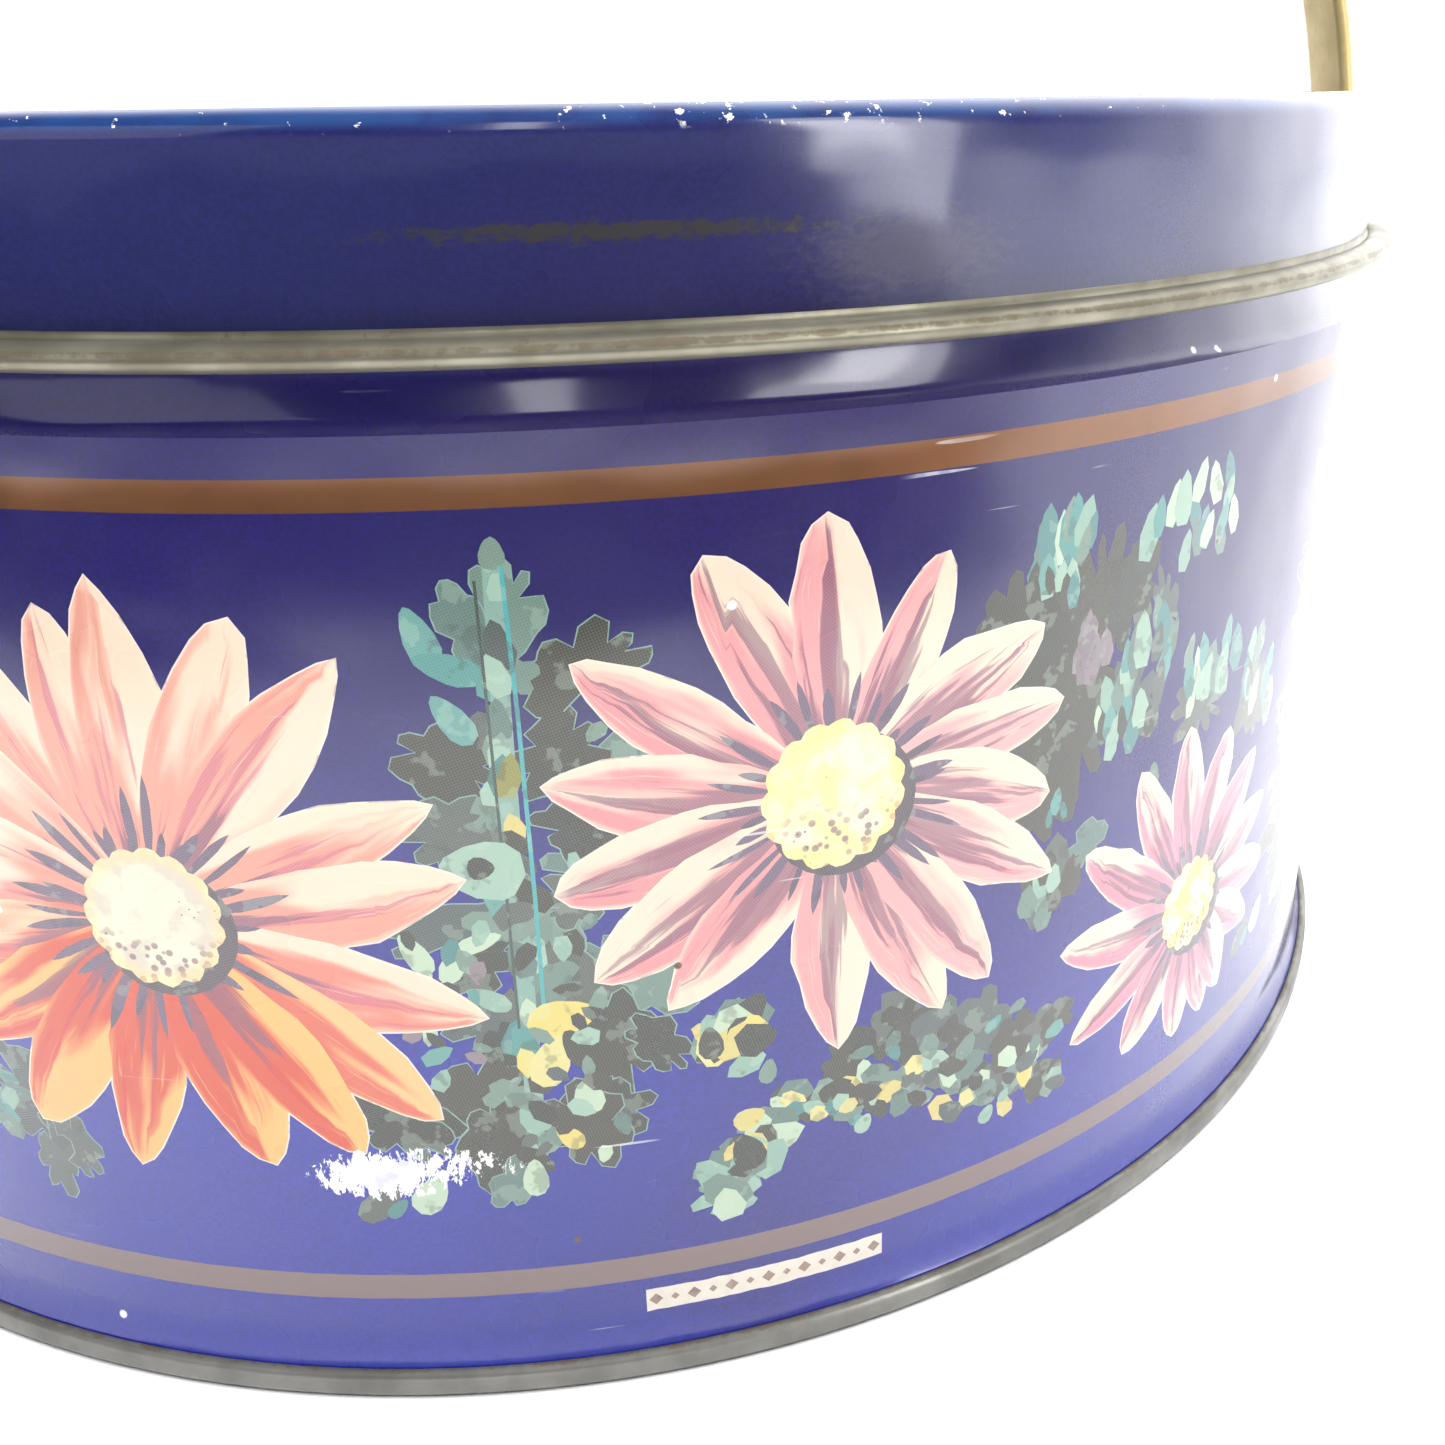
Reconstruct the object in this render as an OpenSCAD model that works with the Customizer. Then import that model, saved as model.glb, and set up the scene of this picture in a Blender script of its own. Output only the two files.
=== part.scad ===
// Round lithographed cake tin with a lift-off lid and a bail handle.
// Frame: +Z up, origin at the centre of the base on the table, bail pivots on the X axis line.

/* [Body] */
// Outer diameter of the printed wall
body_d = 220; // [200:1:240]
// Thickness of the tinplate
sheet = 0.35; // [0.3:0.05:0.4]
// Height of the crease where the wall starts to narrow
crease_h = 88; // [86:0.5:89]
// Height over which the shoulder curves in to the neck
shoulder_rise = 6; // [4:0.5:8]
// How far the neck stands in from the wall
neck_inset = 1.95; // [1.8:0.05:2.3]
// Height of the neck's rolled rim
neck_h = 104.6; // [102:0.1:106]
// Radius of the neck's rolled rim
neck_curl_r = 0.9; // [0.7:0.05:1.1]
// Width of the lock seam at the back
seam_w = 3.5; // [3:0.1:5]

/* [Base] */
// How far the double seam stands out from the wall
ring_out = 1.9; // [1.6:0.1:2.2]
// Height of the double seam
ring_h = 2.8; // [2.6:0.1:3.2]
// Height of the sunk base panel above the table
panel_h = 4; // [3.5:0.1:5]
// Radius of the stiffening ring pressed into the base panel
base_bead_at = 92; // [60:1:96]

/* [Lid] */
// Height of the closed tin
tin_h = 109.6; // [109.4:0.1:112]
// Gap between the neck and the lid
lid_gap = 0.2; // [0.1:0.05:0.3]
// Height of the middle of the lid's rolled bead
bead_h = 93.45; // [92:0.05:94]
// Half the height of the rolled bead
bead_r = 1.1; // [0.9:0.05:1.3]
// Width of the rolled bead, from the inside of the lid
bead_w = 3.15; // [2.8:0.05:3.4]
// Radius of the lid's top corner
lid_corner = 2.2; // [1.5:0.1:3]
// Width of the raised rim round the lid's top
rim_w = 5; // [4:0.5:10]
// How deep the lid's panel lies below the rim
panel_drop = 1; // [0.6:0.1:1.4]

/* [Handle] */
// Height of the bail's pivot
pivot_h = 80; // [79:0.5:81]
// Straight length of each leg, from the pivot to the bend
leg_l = 10; // [9.5:0.5:14]
// Gap between the wall and the inner face of the bail
bail_gap = 9; // [8:0.5:12]
// Width of the bail strip
bail_w = 6.8; // [6:0.1:8]
// Radius of the rolled edges of the bail strip
bail_edge_r = 1; // [0.8:0.05:1.2]
// Thickness of the flat middle of the bail strip
bail_web = 0.7; // [0.5:0.05:0.9]
// Radius of the flattened eye at each end of the bail
eye_r = 5; // [4.5:0.1:5.5]

/* [Fittings] */
// Thickness of the ear brackets and the bail's eyes
ear_t = 0.8; // [0.6:0.05:1]
// Height of each ear bracket
ear_h = 10; // [9:0.5:10.5]
// Width of the raised bridge of each ear bracket
bridge_w = 12; // [11:0.5:13]
// How far the bridge stands off the wall
bridge_off = 4.5; // [4:0.1:5]
// Radius of the pivot rivet's shank
pivot_r = 1.5; // [1.3:0.05:1.7]
// Radius of the shanks of the bracket rivets
rivet_r = 1.1; // [1:0.05:1.3]

/* [Hidden] */
$fn = 180;

body_r = body_d / 2;
body_in = body_r - sheet;
neck_r = body_r - neck_inset;
lid_in = neck_r + lid_gap;
lid_r = lid_in + sheet;
fit = 0.05;                     // slack between pieces that are seamed together
slip = 0.2;                     // gap between pieces that turn on each other
hole_slack = 0.02;              // slack of a rivet in a hole it is set in
pivot_slack = 0.05;             // running clearance of the bail on its pivot

// Double seam
ring_r = body_r + ring_out;
ring_in = body_in - 0.4;
ring_round = 0.9;
hook_h = 1.2;                   // height of the wall's lower edge inside the seam

// Bail and its bracket
bail_in = body_r + bail_gap;
arc_h = pivot_h + leg_l;
bridge_x = body_r + bridge_off;
bridge_out = bridge_x + ear_t;
eye_x = bridge_out + slip;
strap_top = arc_h - 1;          // the strip is closed up below this height
ramp_low = pivot_h + 4.5;
eye_hole_r = pivot_r + pivot_slack;
flange_r = body_r + fit;
flange_from = 5.2;              // angle where the bracket meets the wall
flange_to = 9;
rivet_at = 7.2;                 // angle of each bracket rivet from the middle of its bracket

function arc(cx, cy, r, a0, a1, steps) =
    [for (i = [0:steps]) let (a = a0 + (a1 - a0) * i / steps) [cx + r * cos(a), cy + r * sin(a)]];

// Radius lost by the shoulder at height share t, from 0 at the crease to 1 at the neck
function shoulder_loss(t) = neck_inset * (1 - (1 - t) * (1 - t));

function shoulder(side) =
    [for (i = [0:8]) let (t = i / 8) [body_r - side - shoulder_loss(t), crease_h + shoulder_rise * t]];

// A disc, radius and height, lying along +X from the plane x
module disc_x(x, r, h) translate([x, 0, 0]) rotate([0, 90, 0]) cylinder(r = r, h = h);

// A shallow domed rivet head on the plane x, facing +X
module dome_x(x, r, h) {
    ball = (r * r + h * h) / (2 * h);
    translate([x, 0, 0]) rotate([0, 90, 0]) rotate_extrude()
        intersection() {
            translate([0, h - ball]) circle(r = ball);
            square([r, h]);
        }
}

// Everything on the left is the right side turned half a turn about Z
module side(left) rotate([0, 0, left ? 180 : 0]) children();

// Rolled wall with its shoulder, neck, rolled rim and lock seam
module body_wall() color([0.17, 0.17, 0.47]) difference() {
    union() {
        rotate_extrude() {
            polygon(concat([[body_in, hook_h], [body_r, hook_h]], shoulder(0),
                           [[neck_r, neck_h - neck_curl_r], [neck_r - sheet, neck_h - neck_curl_r]],
                           [for (i = [8:-1:0]) shoulder(sheet)[i]]));
            translate([neck_r - neck_curl_r, neck_h - neck_curl_r]) circle(r = neck_curl_r, $fn = 32);
        }
        lock_seam();
    }
    for (left = [false, true], a = [-rivet_at, rivet_at])
        side(left) rotate([0, 0, a]) translate([0, 0, pivot_h])
            disc_x(body_r - 3, rivet_r + hole_slack, 6);
}

module lock_seam() {
    seam_a = seam_w / body_in * 180 / PI;
    rotate([0, 0, 90 - seam_a / 2]) rotate_extrude(angle = seam_a)
        translate([body_in - 2 * sheet, panel_h + 1]) square([2 * sheet + sheet / 2, crease_h - panel_h - 2]);
}

// Stamped disc whose edge is folded round the foot of the wall
module base_plate() color([0.47, 0.47, 0.42]) rotate_extrude() {
    difference() {
        rounded_ring();
        translate([body_in - fit, hook_h]) square([sheet + 2 * fit, ring_h]);
    }
    translate([ring_in, ring_round]) square([body_in - fit - ring_in, panel_h + sheet - ring_round]);
    translate([0, panel_h]) square([body_in - fit, sheet]);
    intersection() {
        translate([base_bead_at, panel_h + sheet]) difference() {
            circle(r = 1.2, $fn = 32);
            circle(r = 1.2 - sheet, $fn = 32);
        }
        translate([0, panel_h + sheet / 2]) square([body_r, 3]);
    }
}

module rounded_ring() {
    low = ring_round;
    high = ring_h - ring_round;
    translate([ring_in, low]) square([ring_r - ring_in, high - low]);
    translate([ring_in + low, 0]) square([ring_r - ring_in - 2 * low, low]);
    translate([ring_in, high]) square([ring_r - ring_in - ring_round, ring_round]);
    translate([ring_in + low, low]) circle(r = low, $fn = 32);
    for (z = [low, high]) translate([ring_r - ring_round, z]) circle(r = ring_round, $fn = 32);
}

// Drawn lid with a raised rim, a lower panel and a rolled bead round its foot
module lid_shell() color([0.19, 0.2, 0.52]) {
    rim_in = lid_r - lid_corner - rim_w;
    panel_r = rim_in - panel_drop;
    corner_h = tin_h - lid_corner;
    rotate_extrude() polygon(concat(
        [[0, tin_h - panel_drop], [panel_r, tin_h - panel_drop], [rim_in, tin_h]],
        arc(lid_r - lid_corner, corner_h, lid_corner, 90, 0, 8),
        lid_bead(),
        arc(lid_r - lid_corner, corner_h, lid_corner - sheet, 0, 90, 8),
        [[rim_in + sheet / 2, tin_h - sheet], [panel_r + sheet / 2, tin_h - panel_drop - sheet],
         [0, tin_h - panel_drop - sheet]]));
}

// Outline of the rolled bead, from the lid's outer face round to its inner face
function lid_bead() =
    let (half_w = bead_w / 2, mid_r = lid_in + half_w, from = acos((lid_r - mid_r) / half_w))
    [for (i = [0:20]) let (a = from - (from + 180) * i / 20) [mid_r + half_w * cos(a), bead_h + bead_r * sin(a)]];

// Strip section: a flat web on the inside and a rolled edge on each side
module bail_section() {
    translate([bail_in, -bail_w / 2 + bail_edge_r]) square([bail_web, bail_w - 2 * bail_edge_r]);
    for (y = [-1, 1])
        translate([bail_in + bail_edge_r, y * (bail_w / 2 - bail_edge_r)]) circle(r = bail_edge_r, $fn = 32);
}

// Upright bail: a half circle, two short legs and a flattened eye at each end
module bail_handle() color([0.76, 0.68, 0.46]) {
    translate([0, 0, arc_h]) rotate([90, 0, 0]) rotate_extrude(angle = 180) bail_section();
    for (left = [false, true]) side(left) {
        translate([0, 0, strap_top]) linear_extrude(arc_h - strap_top) bail_section();
        bail_foot();
    }
}

module bail_foot() difference() {
    union() {
        translate([0, bail_w / 2, 0]) rotate([90, 0, 0]) linear_extrude(bail_w)
            polygon([[eye_x, pivot_h], [eye_x + ear_t, pivot_h], [eye_x + ear_t, ramp_low],
                     [bail_in + ear_t, strap_top], [bail_in, strap_top], [eye_x, ramp_low + 0.5]]);
        translate([0, 0, pivot_h]) disc_x(eye_x, eye_r, ear_t);
    }
    translate([0, 0, pivot_h]) disc_x(eye_x - 1, eye_hole_r, ear_t + 2);
}

// Hat-shaped bracket: a raised bridge between two flanges that lie on the wall
module ear_bracket(left) color([0.62, 0.55, 0.38]) side(left) difference() {
    translate([0, 0, pivot_h - ear_h / 2]) linear_extrude(ear_h) {
        translate([bridge_x, -bridge_w / 2]) square([ear_t, bridge_w]);
        for (s = [0, 1]) mirror([0, s]) {
            bracket_ramp();
            bracket_flange();
        }
    }
    translate([0, 0, pivot_h]) disc_x(bridge_x - 1, pivot_r + hole_slack, ear_t + 2);
    for (a = [-rivet_at, rivet_at]) rotate([0, 0, a])
        translate([0, 0, pivot_h]) disc_x(body_r - 3, rivet_r + hole_slack, 6);
}

module bracket_ramp() {
    low_in = flange_r * [cos(flange_from), sin(flange_from)];
    low_out = (flange_r + ear_t) * [cos(flange_from + 0.4), sin(flange_from + 0.4)];
    polygon([[bridge_x, bridge_w / 2 - 0.3], [bridge_out, bridge_w / 2], low_out, low_in]);
}

module bracket_flange() intersection() {
    difference() {
        circle(r = flange_r + ear_t);
        circle(r = flange_r);
    }
    polygon([[0, 0], 2 * body_r * [cos(flange_from), sin(flange_from)],
             2 * body_r * [cos(flange_to), sin(flange_to)]]);
}

// Rivet that the eye of the bail turns on, set in the bridge of its bracket
module pivot_rivet(left) color([0.72, 0.66, 0.5]) side(left) translate([0, 0, pivot_h]) {
    tail = 1;
    head_x = eye_x + ear_t + slip / 2;
    disc_x(bridge_x - tail, 2.4, tail);
    disc_x(bridge_x - tail, pivot_r, head_x - bridge_x + tail);
    dome_x(head_x, 3.2, 1.3);
}

// The two small rivets that hold a bracket to the wall
module bracket_rivets(left) color([0.66, 0.62, 0.52]) side(left) for (a = [-rivet_at, rivet_at])
    rotate([0, 0, a]) translate([0, 0, pivot_h]) {
        tail = 0.65;
        disc_x(body_in - fit - tail, 1.9, tail);
        disc_x(body_in - fit - tail, rivet_r, flange_r + ear_t - body_in + fit + tail);
        dome_x(flange_r + ear_t, 2.1, 0.9);
    }

body_wall();
base_plate();
lid_shell();
bail_handle();
ear_bracket(true);  // ear_bracket_left
ear_bracket(false);  // ear_bracket_right
pivot_rivet(true);  // pivot_rivet_left
pivot_rivet(false);  // pivot_rivet_right
bracket_rivets(true);  // bracket_rivets_left
bracket_rivets(false);  // bracket_rivets_right
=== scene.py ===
"""Looks of a round lithographed cake tin: printed wall and lid, seamed base, gold bail and fittings.

Print coordinates are millimetres on the unrolled wall: s runs round the tin from the front (-Y) towards +X,
and z is the height above the table. Blender objects are in metres, in the frame of the CAD model.
"""

import math
import random
from bisect import bisect

import bpy
from mathutils import Matrix, Vector
from mathutils.geometry import delaunay_2d_cdt


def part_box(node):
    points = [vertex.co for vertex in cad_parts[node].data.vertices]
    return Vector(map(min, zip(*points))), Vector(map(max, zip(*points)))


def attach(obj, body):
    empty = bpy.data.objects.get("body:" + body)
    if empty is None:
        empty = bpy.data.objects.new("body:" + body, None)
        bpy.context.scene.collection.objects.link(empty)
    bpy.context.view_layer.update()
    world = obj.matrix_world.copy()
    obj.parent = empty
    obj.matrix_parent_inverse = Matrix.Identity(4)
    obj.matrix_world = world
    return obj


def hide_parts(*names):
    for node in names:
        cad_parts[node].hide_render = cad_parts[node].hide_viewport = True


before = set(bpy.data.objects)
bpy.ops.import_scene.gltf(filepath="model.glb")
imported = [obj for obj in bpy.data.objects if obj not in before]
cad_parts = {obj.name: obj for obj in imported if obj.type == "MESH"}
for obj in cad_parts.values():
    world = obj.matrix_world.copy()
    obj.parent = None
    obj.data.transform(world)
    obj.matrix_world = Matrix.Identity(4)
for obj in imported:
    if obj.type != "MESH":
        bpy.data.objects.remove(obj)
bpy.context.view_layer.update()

MM = 0.001
TAU = 2 * math.pi

# ---------------------------------------------------------------- sizes, in millimetres
_, wall_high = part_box("body_wall")
_, base_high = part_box("base_plate")
lid_low, lid_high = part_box("lid_shell")
bail_low, bail_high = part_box("bail_handle")
ear_low, ear_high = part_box("ear_bracket_right")

WALL_R = wall_high.x / MM           # outer radius of the printed wall
SHEET = 0.35                        # thickness of the tinplate
FOOT_Z = 1.2                        # lower edge of the wall, inside the double seam
CREASE_Z = 88.0                     # where the wall starts to narrow
SHOULDER_RISE = 6.0                 # height of the shoulder above the crease
NECK_R = WALL_R - 1.95
NECK_Z = wall_high.z / MM           # top of the neck's rolled rim
NECK_CURL = 0.9                     # radius of that rim

LID_TOP = lid_high.z / MM
LID_IN = NECK_R + 0.2
LID_R = LID_IN + SHEET
LID_CORNER = 2.2                    # radius of the lid's top corner
RIM_W = 5.0                         # the raised rim round the lid's panel
PANEL_DROP = 1.0
BEAD_HALF_H = 1.1
BEAD_HALF_W = (lid_high.x / MM - LID_IN) / 2
BEAD_Z = lid_low.z / MM + BEAD_HALF_H

RING_R = base_high.x / MM           # outer radius of the double seam
RING_H = 2.8
PANEL_Z = 4.0                       # underside of the base's sunk panel
FLARE = 0.9                         # how far the wall's foot spreads above the seam
FLARE_Z = 6.5                       # where it starts to spread

EAR_T = 0.8                         # thickness of the brackets and of the bail's eyes
EAR_LOW, EAR_HIGH = ear_low.z / MM, ear_high.z / MM
PIVOT_Z = (EAR_LOW + EAR_HIGH) / 2
BAIL_W = (bail_high.y - bail_low.y) / MM
EDGE_R = 1.0                        # radius of the bail's rolled edges
ARC_R = bail_high.x / MM - EDGE_R   # radius of the bail's middle line
ARC_Z = bail_high.z / MM - ARC_R - EDGE_R
WEB = 0.7                           # thickness of the bail between its rolled edges
EYE_X = 115.5                       # inner face of the bail's eyes
EYE_R = 5.0
BRIDGE_X = 114.5                    # inner face of the brackets' bridges
FLANGE_R = WALL_R + 0.05            # inner face of the brackets' flanges
PIVOT_HEAD_X = EYE_X + EAR_T + 0.1
RIVET_AT = 7.2                      # angle of the small rivets from the pivot, in degrees

ROUND = TAU * WALL_R                # length of the wall round the tin
REPEATS = 3                         # the print repeats this many times
REPEAT = ROUND / REPEATS
PRINT_START = -70.0                 # where one repeat starts
COLUMNS = 48                        # columns of the mesh in one repeat
SEAM_S = ROUND / 2                  # the lock seam is at the back

GOLD_TOP = (82.4, 84.9)             # the two gold lines, lower and upper edge
GOLD_FOOT = (9.9, 12.6)
LABEL = (2.4, 25.2, 6.1, 8.6)       # the small blank strip: left, right, bottom, top
SWELL = 0.45                        # extra radius of the wall at the crease
WELD = 1e-4                         # points of the print closer than this become one

LIGHT_AIM = (0, 0, 0.07)            # metres: every light faces this point inside the tin
LIGHT_FAR = 1.5                     # metres from that point to a light


def srgb(r, g, b):
    """A colour given as 0-255 screen values, as linear values."""
    return tuple(((c / 255 + 0.055) / 1.055) ** 2.4 if c > 10 else c / 255 / 12.92 for c in (r, g, b))


# ---------------------------------------------------------------- node helpers
class Nodes:
    """Short calls that add a node to a tree and return its output socket."""

    def __init__(self, tree):
        self.tree = tree

    def put(self, socket, value):
        if isinstance(value, bpy.types.NodeSocket):
            self.tree.links.new(value, socket)
        elif socket.type == "RGBA" and len(value) == 3:
            socket.default_value = (*value, 1)
        else:
            socket.default_value = value

    def node(self, kind, out=0, inputs=None, **settings):
        made = self.tree.nodes.new(kind)
        for name, value in settings.items():
            setattr(made, name, value)
        for name, value in (inputs or {}).items():
            self.put(made.inputs[name], value)
        return made.outputs[out]

    def math(self, operation, a, b=0.0, clamp=False):
        return self.node("ShaderNodeMath", inputs={0: a, 1: b}, operation=operation, use_clamp=clamp)

    def add(self, first, *rest):
        for value in rest:
            first = self.math("ADD", first, value)
        return first

    def times(self, first, *rest):
        for value in rest:
            first = self.math("MULTIPLY", first, value)
        return first

    def less(self, a, b):
        return self.math("SUBTRACT", a, b)

    def most(self, first, *rest):
        for value in rest:
            first = self.math("MAXIMUM", first, value)
        return first

    def step(self, value, low, high, to_low=0.0, to_high=1.0):
        """to_low at low and to_high at high, with a smooth change between and none beyond."""
        if low > high:
            low, high, to_low, to_high = high, low, to_high, to_low
        return self.node("ShaderNodeMapRange", interpolation_type="SMOOTHSTEP", inputs={
            "Value": value, "From Min": low, "From Max": high, "To Min": to_low, "To Max": to_high})

    def mix(self, share, a, b, blend="MIX"):
        made = self.tree.nodes.new("ShaderNodeMix")
        made.data_type = "RGBA"
        made.blend_type = blend
        colours = [socket for socket in made.inputs if socket.type == "RGBA"]
        self.put(made.inputs["Factor"], share)
        self.put(colours[0], a)
        self.put(colours[1], b)
        return next(socket for socket in made.outputs if socket.type == "RGBA")

    def split(self, vector):
        made = self.tree.nodes.new("ShaderNodeSeparateXYZ")
        self.tree.links.new(vector, made.inputs[0])
        return made.outputs

    def join(self, x, y, z=0.0):
        return self.node("ShaderNodeCombineXYZ", inputs={0: x, 1: y, 2: z})

    def vector(self, operation, a, b, out=0):
        return self.node("ShaderNodeVectorMath", out, {0: a, 1: b}, operation=operation)

    def noise(self, vector, scale, detail=2.0, rough=0.5, distort=0.0):
        return self.node("ShaderNodeTexNoise", inputs={
            "Vector": vector, "Scale": scale, "Detail": detail, "Roughness": rough, "Distortion": distort})

    def cells(self, vector, scale, out="Distance"):
        return self.node("ShaderNodeTexVoronoi", out=out, inputs={"Vector": vector, "Scale": scale})

    def specks(self, vector, scale, size, share):
        """1 inside round specks. size is part of a cell, and share is the part of the cells with a speck."""
        chosen = self.math("LESS_THAN", self.split(self.cells(vector, scale, "Color"))[0], share)
        return self.times(chosen, self.step(self.cells(vector, scale), size, size * 0.6))

    def bump(self, height, distance, normal=None):
        made = {"Height": height, "Distance": distance, "Strength": 1.0}
        if normal is not None:
            made["Normal"] = normal
        return self.node("ShaderNodeBump", inputs=made)


def new_material(name):
    mat = bpy.data.materials.new(name)
    mat.use_nodes = True
    return mat, Nodes(mat.node_tree), mat.node_tree.nodes["Principled BSDF"]


# ---------------------------------------------------------------- camera, light and floor
def link_object(name, data):
    made = bpy.data.objects.new(name, data)
    bpy.context.scene.collection.objects.link(made)
    return made


def add_camera():
    """A camera 10 cm in front of the tin, level with its lid, looking down at its right half."""
    data = bpy.data.cameras.new("camera")
    data.lens = 35.1
    data.sensor_width = 36.0
    data.shift_x = -0.047
    data.shift_y = -0.0688
    data.clip_start = 0.005
    camera = link_object("camera", data)
    yaw, pitch, roll = (math.radians(a) for a in (9.41, 20.41, -0.79))
    turn = Matrix.Rotation(-yaw, 4, "Z") @ Matrix.Rotation(math.pi / 2 - pitch, 4, "X")
    camera.matrix_world = Matrix.Translation((0, -0.2096, 0.1096)) @ turn @ Matrix.Rotation(roll, 4, "Z")
    bpy.context.scene.camera = camera


def add_area(name, azimuth, elevation, size, power, shown=True, lights=True):
    """A soft light. azimuth runs from the front (-Y) towards +X. With shown=False it leaves no reflection,
    and with lights=False it is seen only in reflections."""
    a, e = math.radians(azimuth), math.radians(elevation)
    way = Vector((math.sin(a) * math.cos(e), -math.cos(a) * math.cos(e), math.sin(e)))
    data = bpy.data.lights.new(name, "AREA")
    data.shape = "RECTANGLE"
    data.size, data.size_y = size
    data.energy = power
    light = link_object(name, data)
    light.location = Vector(LIGHT_AIM) + way * LIGHT_FAR
    light.rotation_euler = (-way).to_track_quat("-Z", "Y").to_euler()
    light.visible_glossy = shown
    light.visible_diffuse = lights
    light.visible_camera = False


def add_world():
    """White behind the tin and beside it, a dim room in front of it, and plain white for the camera."""
    world = bpy.data.worlds.new("studio")
    world.use_nodes = True
    bpy.context.scene.world = world
    tree = world.node_tree
    tree.nodes.clear()
    sh = Nodes(tree)
    way = sh.split(sh.node("ShaderNodeTexCoord", out="Generated"))
    behind = sh.step(sh.add(sh.times(way[1], 0.9), sh.times(way[0], 0.42)), -0.14, 0.62)
    room = sh.mix(sh.step(way[2], 0.02, 0.4), (0.37, 0.4, 0.49), (0.05, 0.048, 0.06))
    colour = sh.mix(behind, room, (2.7, 2.7, 2.74))
    seen = sh.node("ShaderNodeLightPath", out="Is Camera Ray")
    colour = sh.mix(seen, colour, (1.0, 1.0, 1.0))
    back = tree.nodes.new("ShaderNodeBackground")
    tree.links.new(colour, back.inputs["Color"])
    out = tree.nodes.new("ShaderNodeOutputWorld")
    tree.links.new(back.outputs[0], out.inputs["Surface"])


def flat_card(name, x_low, x_high, y_low, y_high, z):
    mesh = bpy.data.meshes.new(name)
    mesh.from_pydata([(x_low, y_low, z), (x_high, y_low, z), (x_high, y_high, z), (x_low, y_high, z)], [],
                     [(0, 1, 2, 3)])
    card = link_object(name, mesh)
    return card


def add_floor():
    floor = flat_card("floor", -3, 3, -3, 3, 0)
    mat, sh, shader = new_material("floor_white")
    grain = sh.noise(sh.node("ShaderNodeTexCoord", out="Object"), 30, 2)
    sh.put(shader.inputs["Base Color"], sh.mix(grain, (0.9, 0.9, 0.9), (0.94, 0.94, 0.95)))
    shader.inputs["Roughness"].default_value = 0.7
    floor.data.materials.append(mat)


def add_flag():
    """A card on the floor, seen only in reflections: white near the tin, dark in front and left of it, and
    bright far out on the other sides."""
    flag = flat_card("dark_flag", -3, 3, -3, 3, 0.0003)
    flag.visible_camera = False
    flag.visible_diffuse = False
    flag.visible_shadow = False
    mat, sh, shader = new_material("flag_dark")
    shader.inputs["Roughness"].default_value = 1.0
    place = sh.node("ShaderNodeTexCoord", out="Object")
    far = sh.vector("LENGTH", place, (0, 0, 0), "Value")
    side = sh.vector("DOT_PRODUCT", sh.vector("NORMALIZE", place, (0, 0, 0)), (-0.57, -0.82, 0), "Value")
    share = sh.times(sh.step(far, 0.25, 0.345), sh.step(side, 0.05, 0.35))
    sh.put(shader.inputs["Base Color"], sh.mix(share, (0.93, 0.93, 0.94), (0.02, 0.018, 0.024)))
    sh.put(shader.inputs["Emission Color"], (0.96, 0.98, 1.0))
    sh.put(shader.inputs["Emission Strength"], sh.times(sh.step(far, 0.5, 1.6), sh.less(1.0, share), 1.3))
    flag.data.materials.append(mat)


# ---------------------------------------------------------------- materials of the print
class Print:
    """The coordinates that every printed material uses."""

    def __init__(self, sh):
        self.flat = sh.node("ShaderNodeUVMap", uv_map="flat")      # s and z, in metres
        self.local = sh.node("ShaderNodeUVMap", uv_map="local")    # u and v within a petal or a disc
        tone = sh.tree.nodes.new("ShaderNodeAttribute")
        tone.attribute_name = "tone"
        self.tone = tone.outputs["Color"]
        self.seed = sh.times(tone.outputs["Alpha"], 37.0)
        self.s, self.z, _ = sh.split(self.flat)
        self.place = sh.node("ShaderNodeTexCoord", out="Object")


def oval(sh, p, s, z, half_s, half_z):
    """1 in the middle of an oval on the wall, falling to 0 at its edge. Sizes are in millimetres."""
    a = sh.times(sh.less(p.s, s * MM), 1 / (half_s * MM))
    b = sh.times(sh.less(p.z, z * MM), 1 / (half_z * MM))
    return sh.math("SUBTRACT", 1.0, sh.math("SQRT", sh.add(sh.times(a, a), sh.times(b, b))), clamp=True)


def screen_dots(sh, p, angle, pitch=0.24):
    """The printer's dot screen: a fine grid of dots, at an angle, from 0 to 1."""
    c, s = math.cos(math.radians(angle)), math.sin(math.radians(angle))
    k = TAU / (pitch * MM)
    a = sh.add(sh.times(p.s, c * k), sh.times(p.z, s * k))
    b = sh.less(sh.times(p.s, s * k), sh.times(p.z, c * k))
    return sh.step(sh.add(sh.math("SINE", a), sh.math("SINE", b)), -0.6, 0.9)


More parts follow.
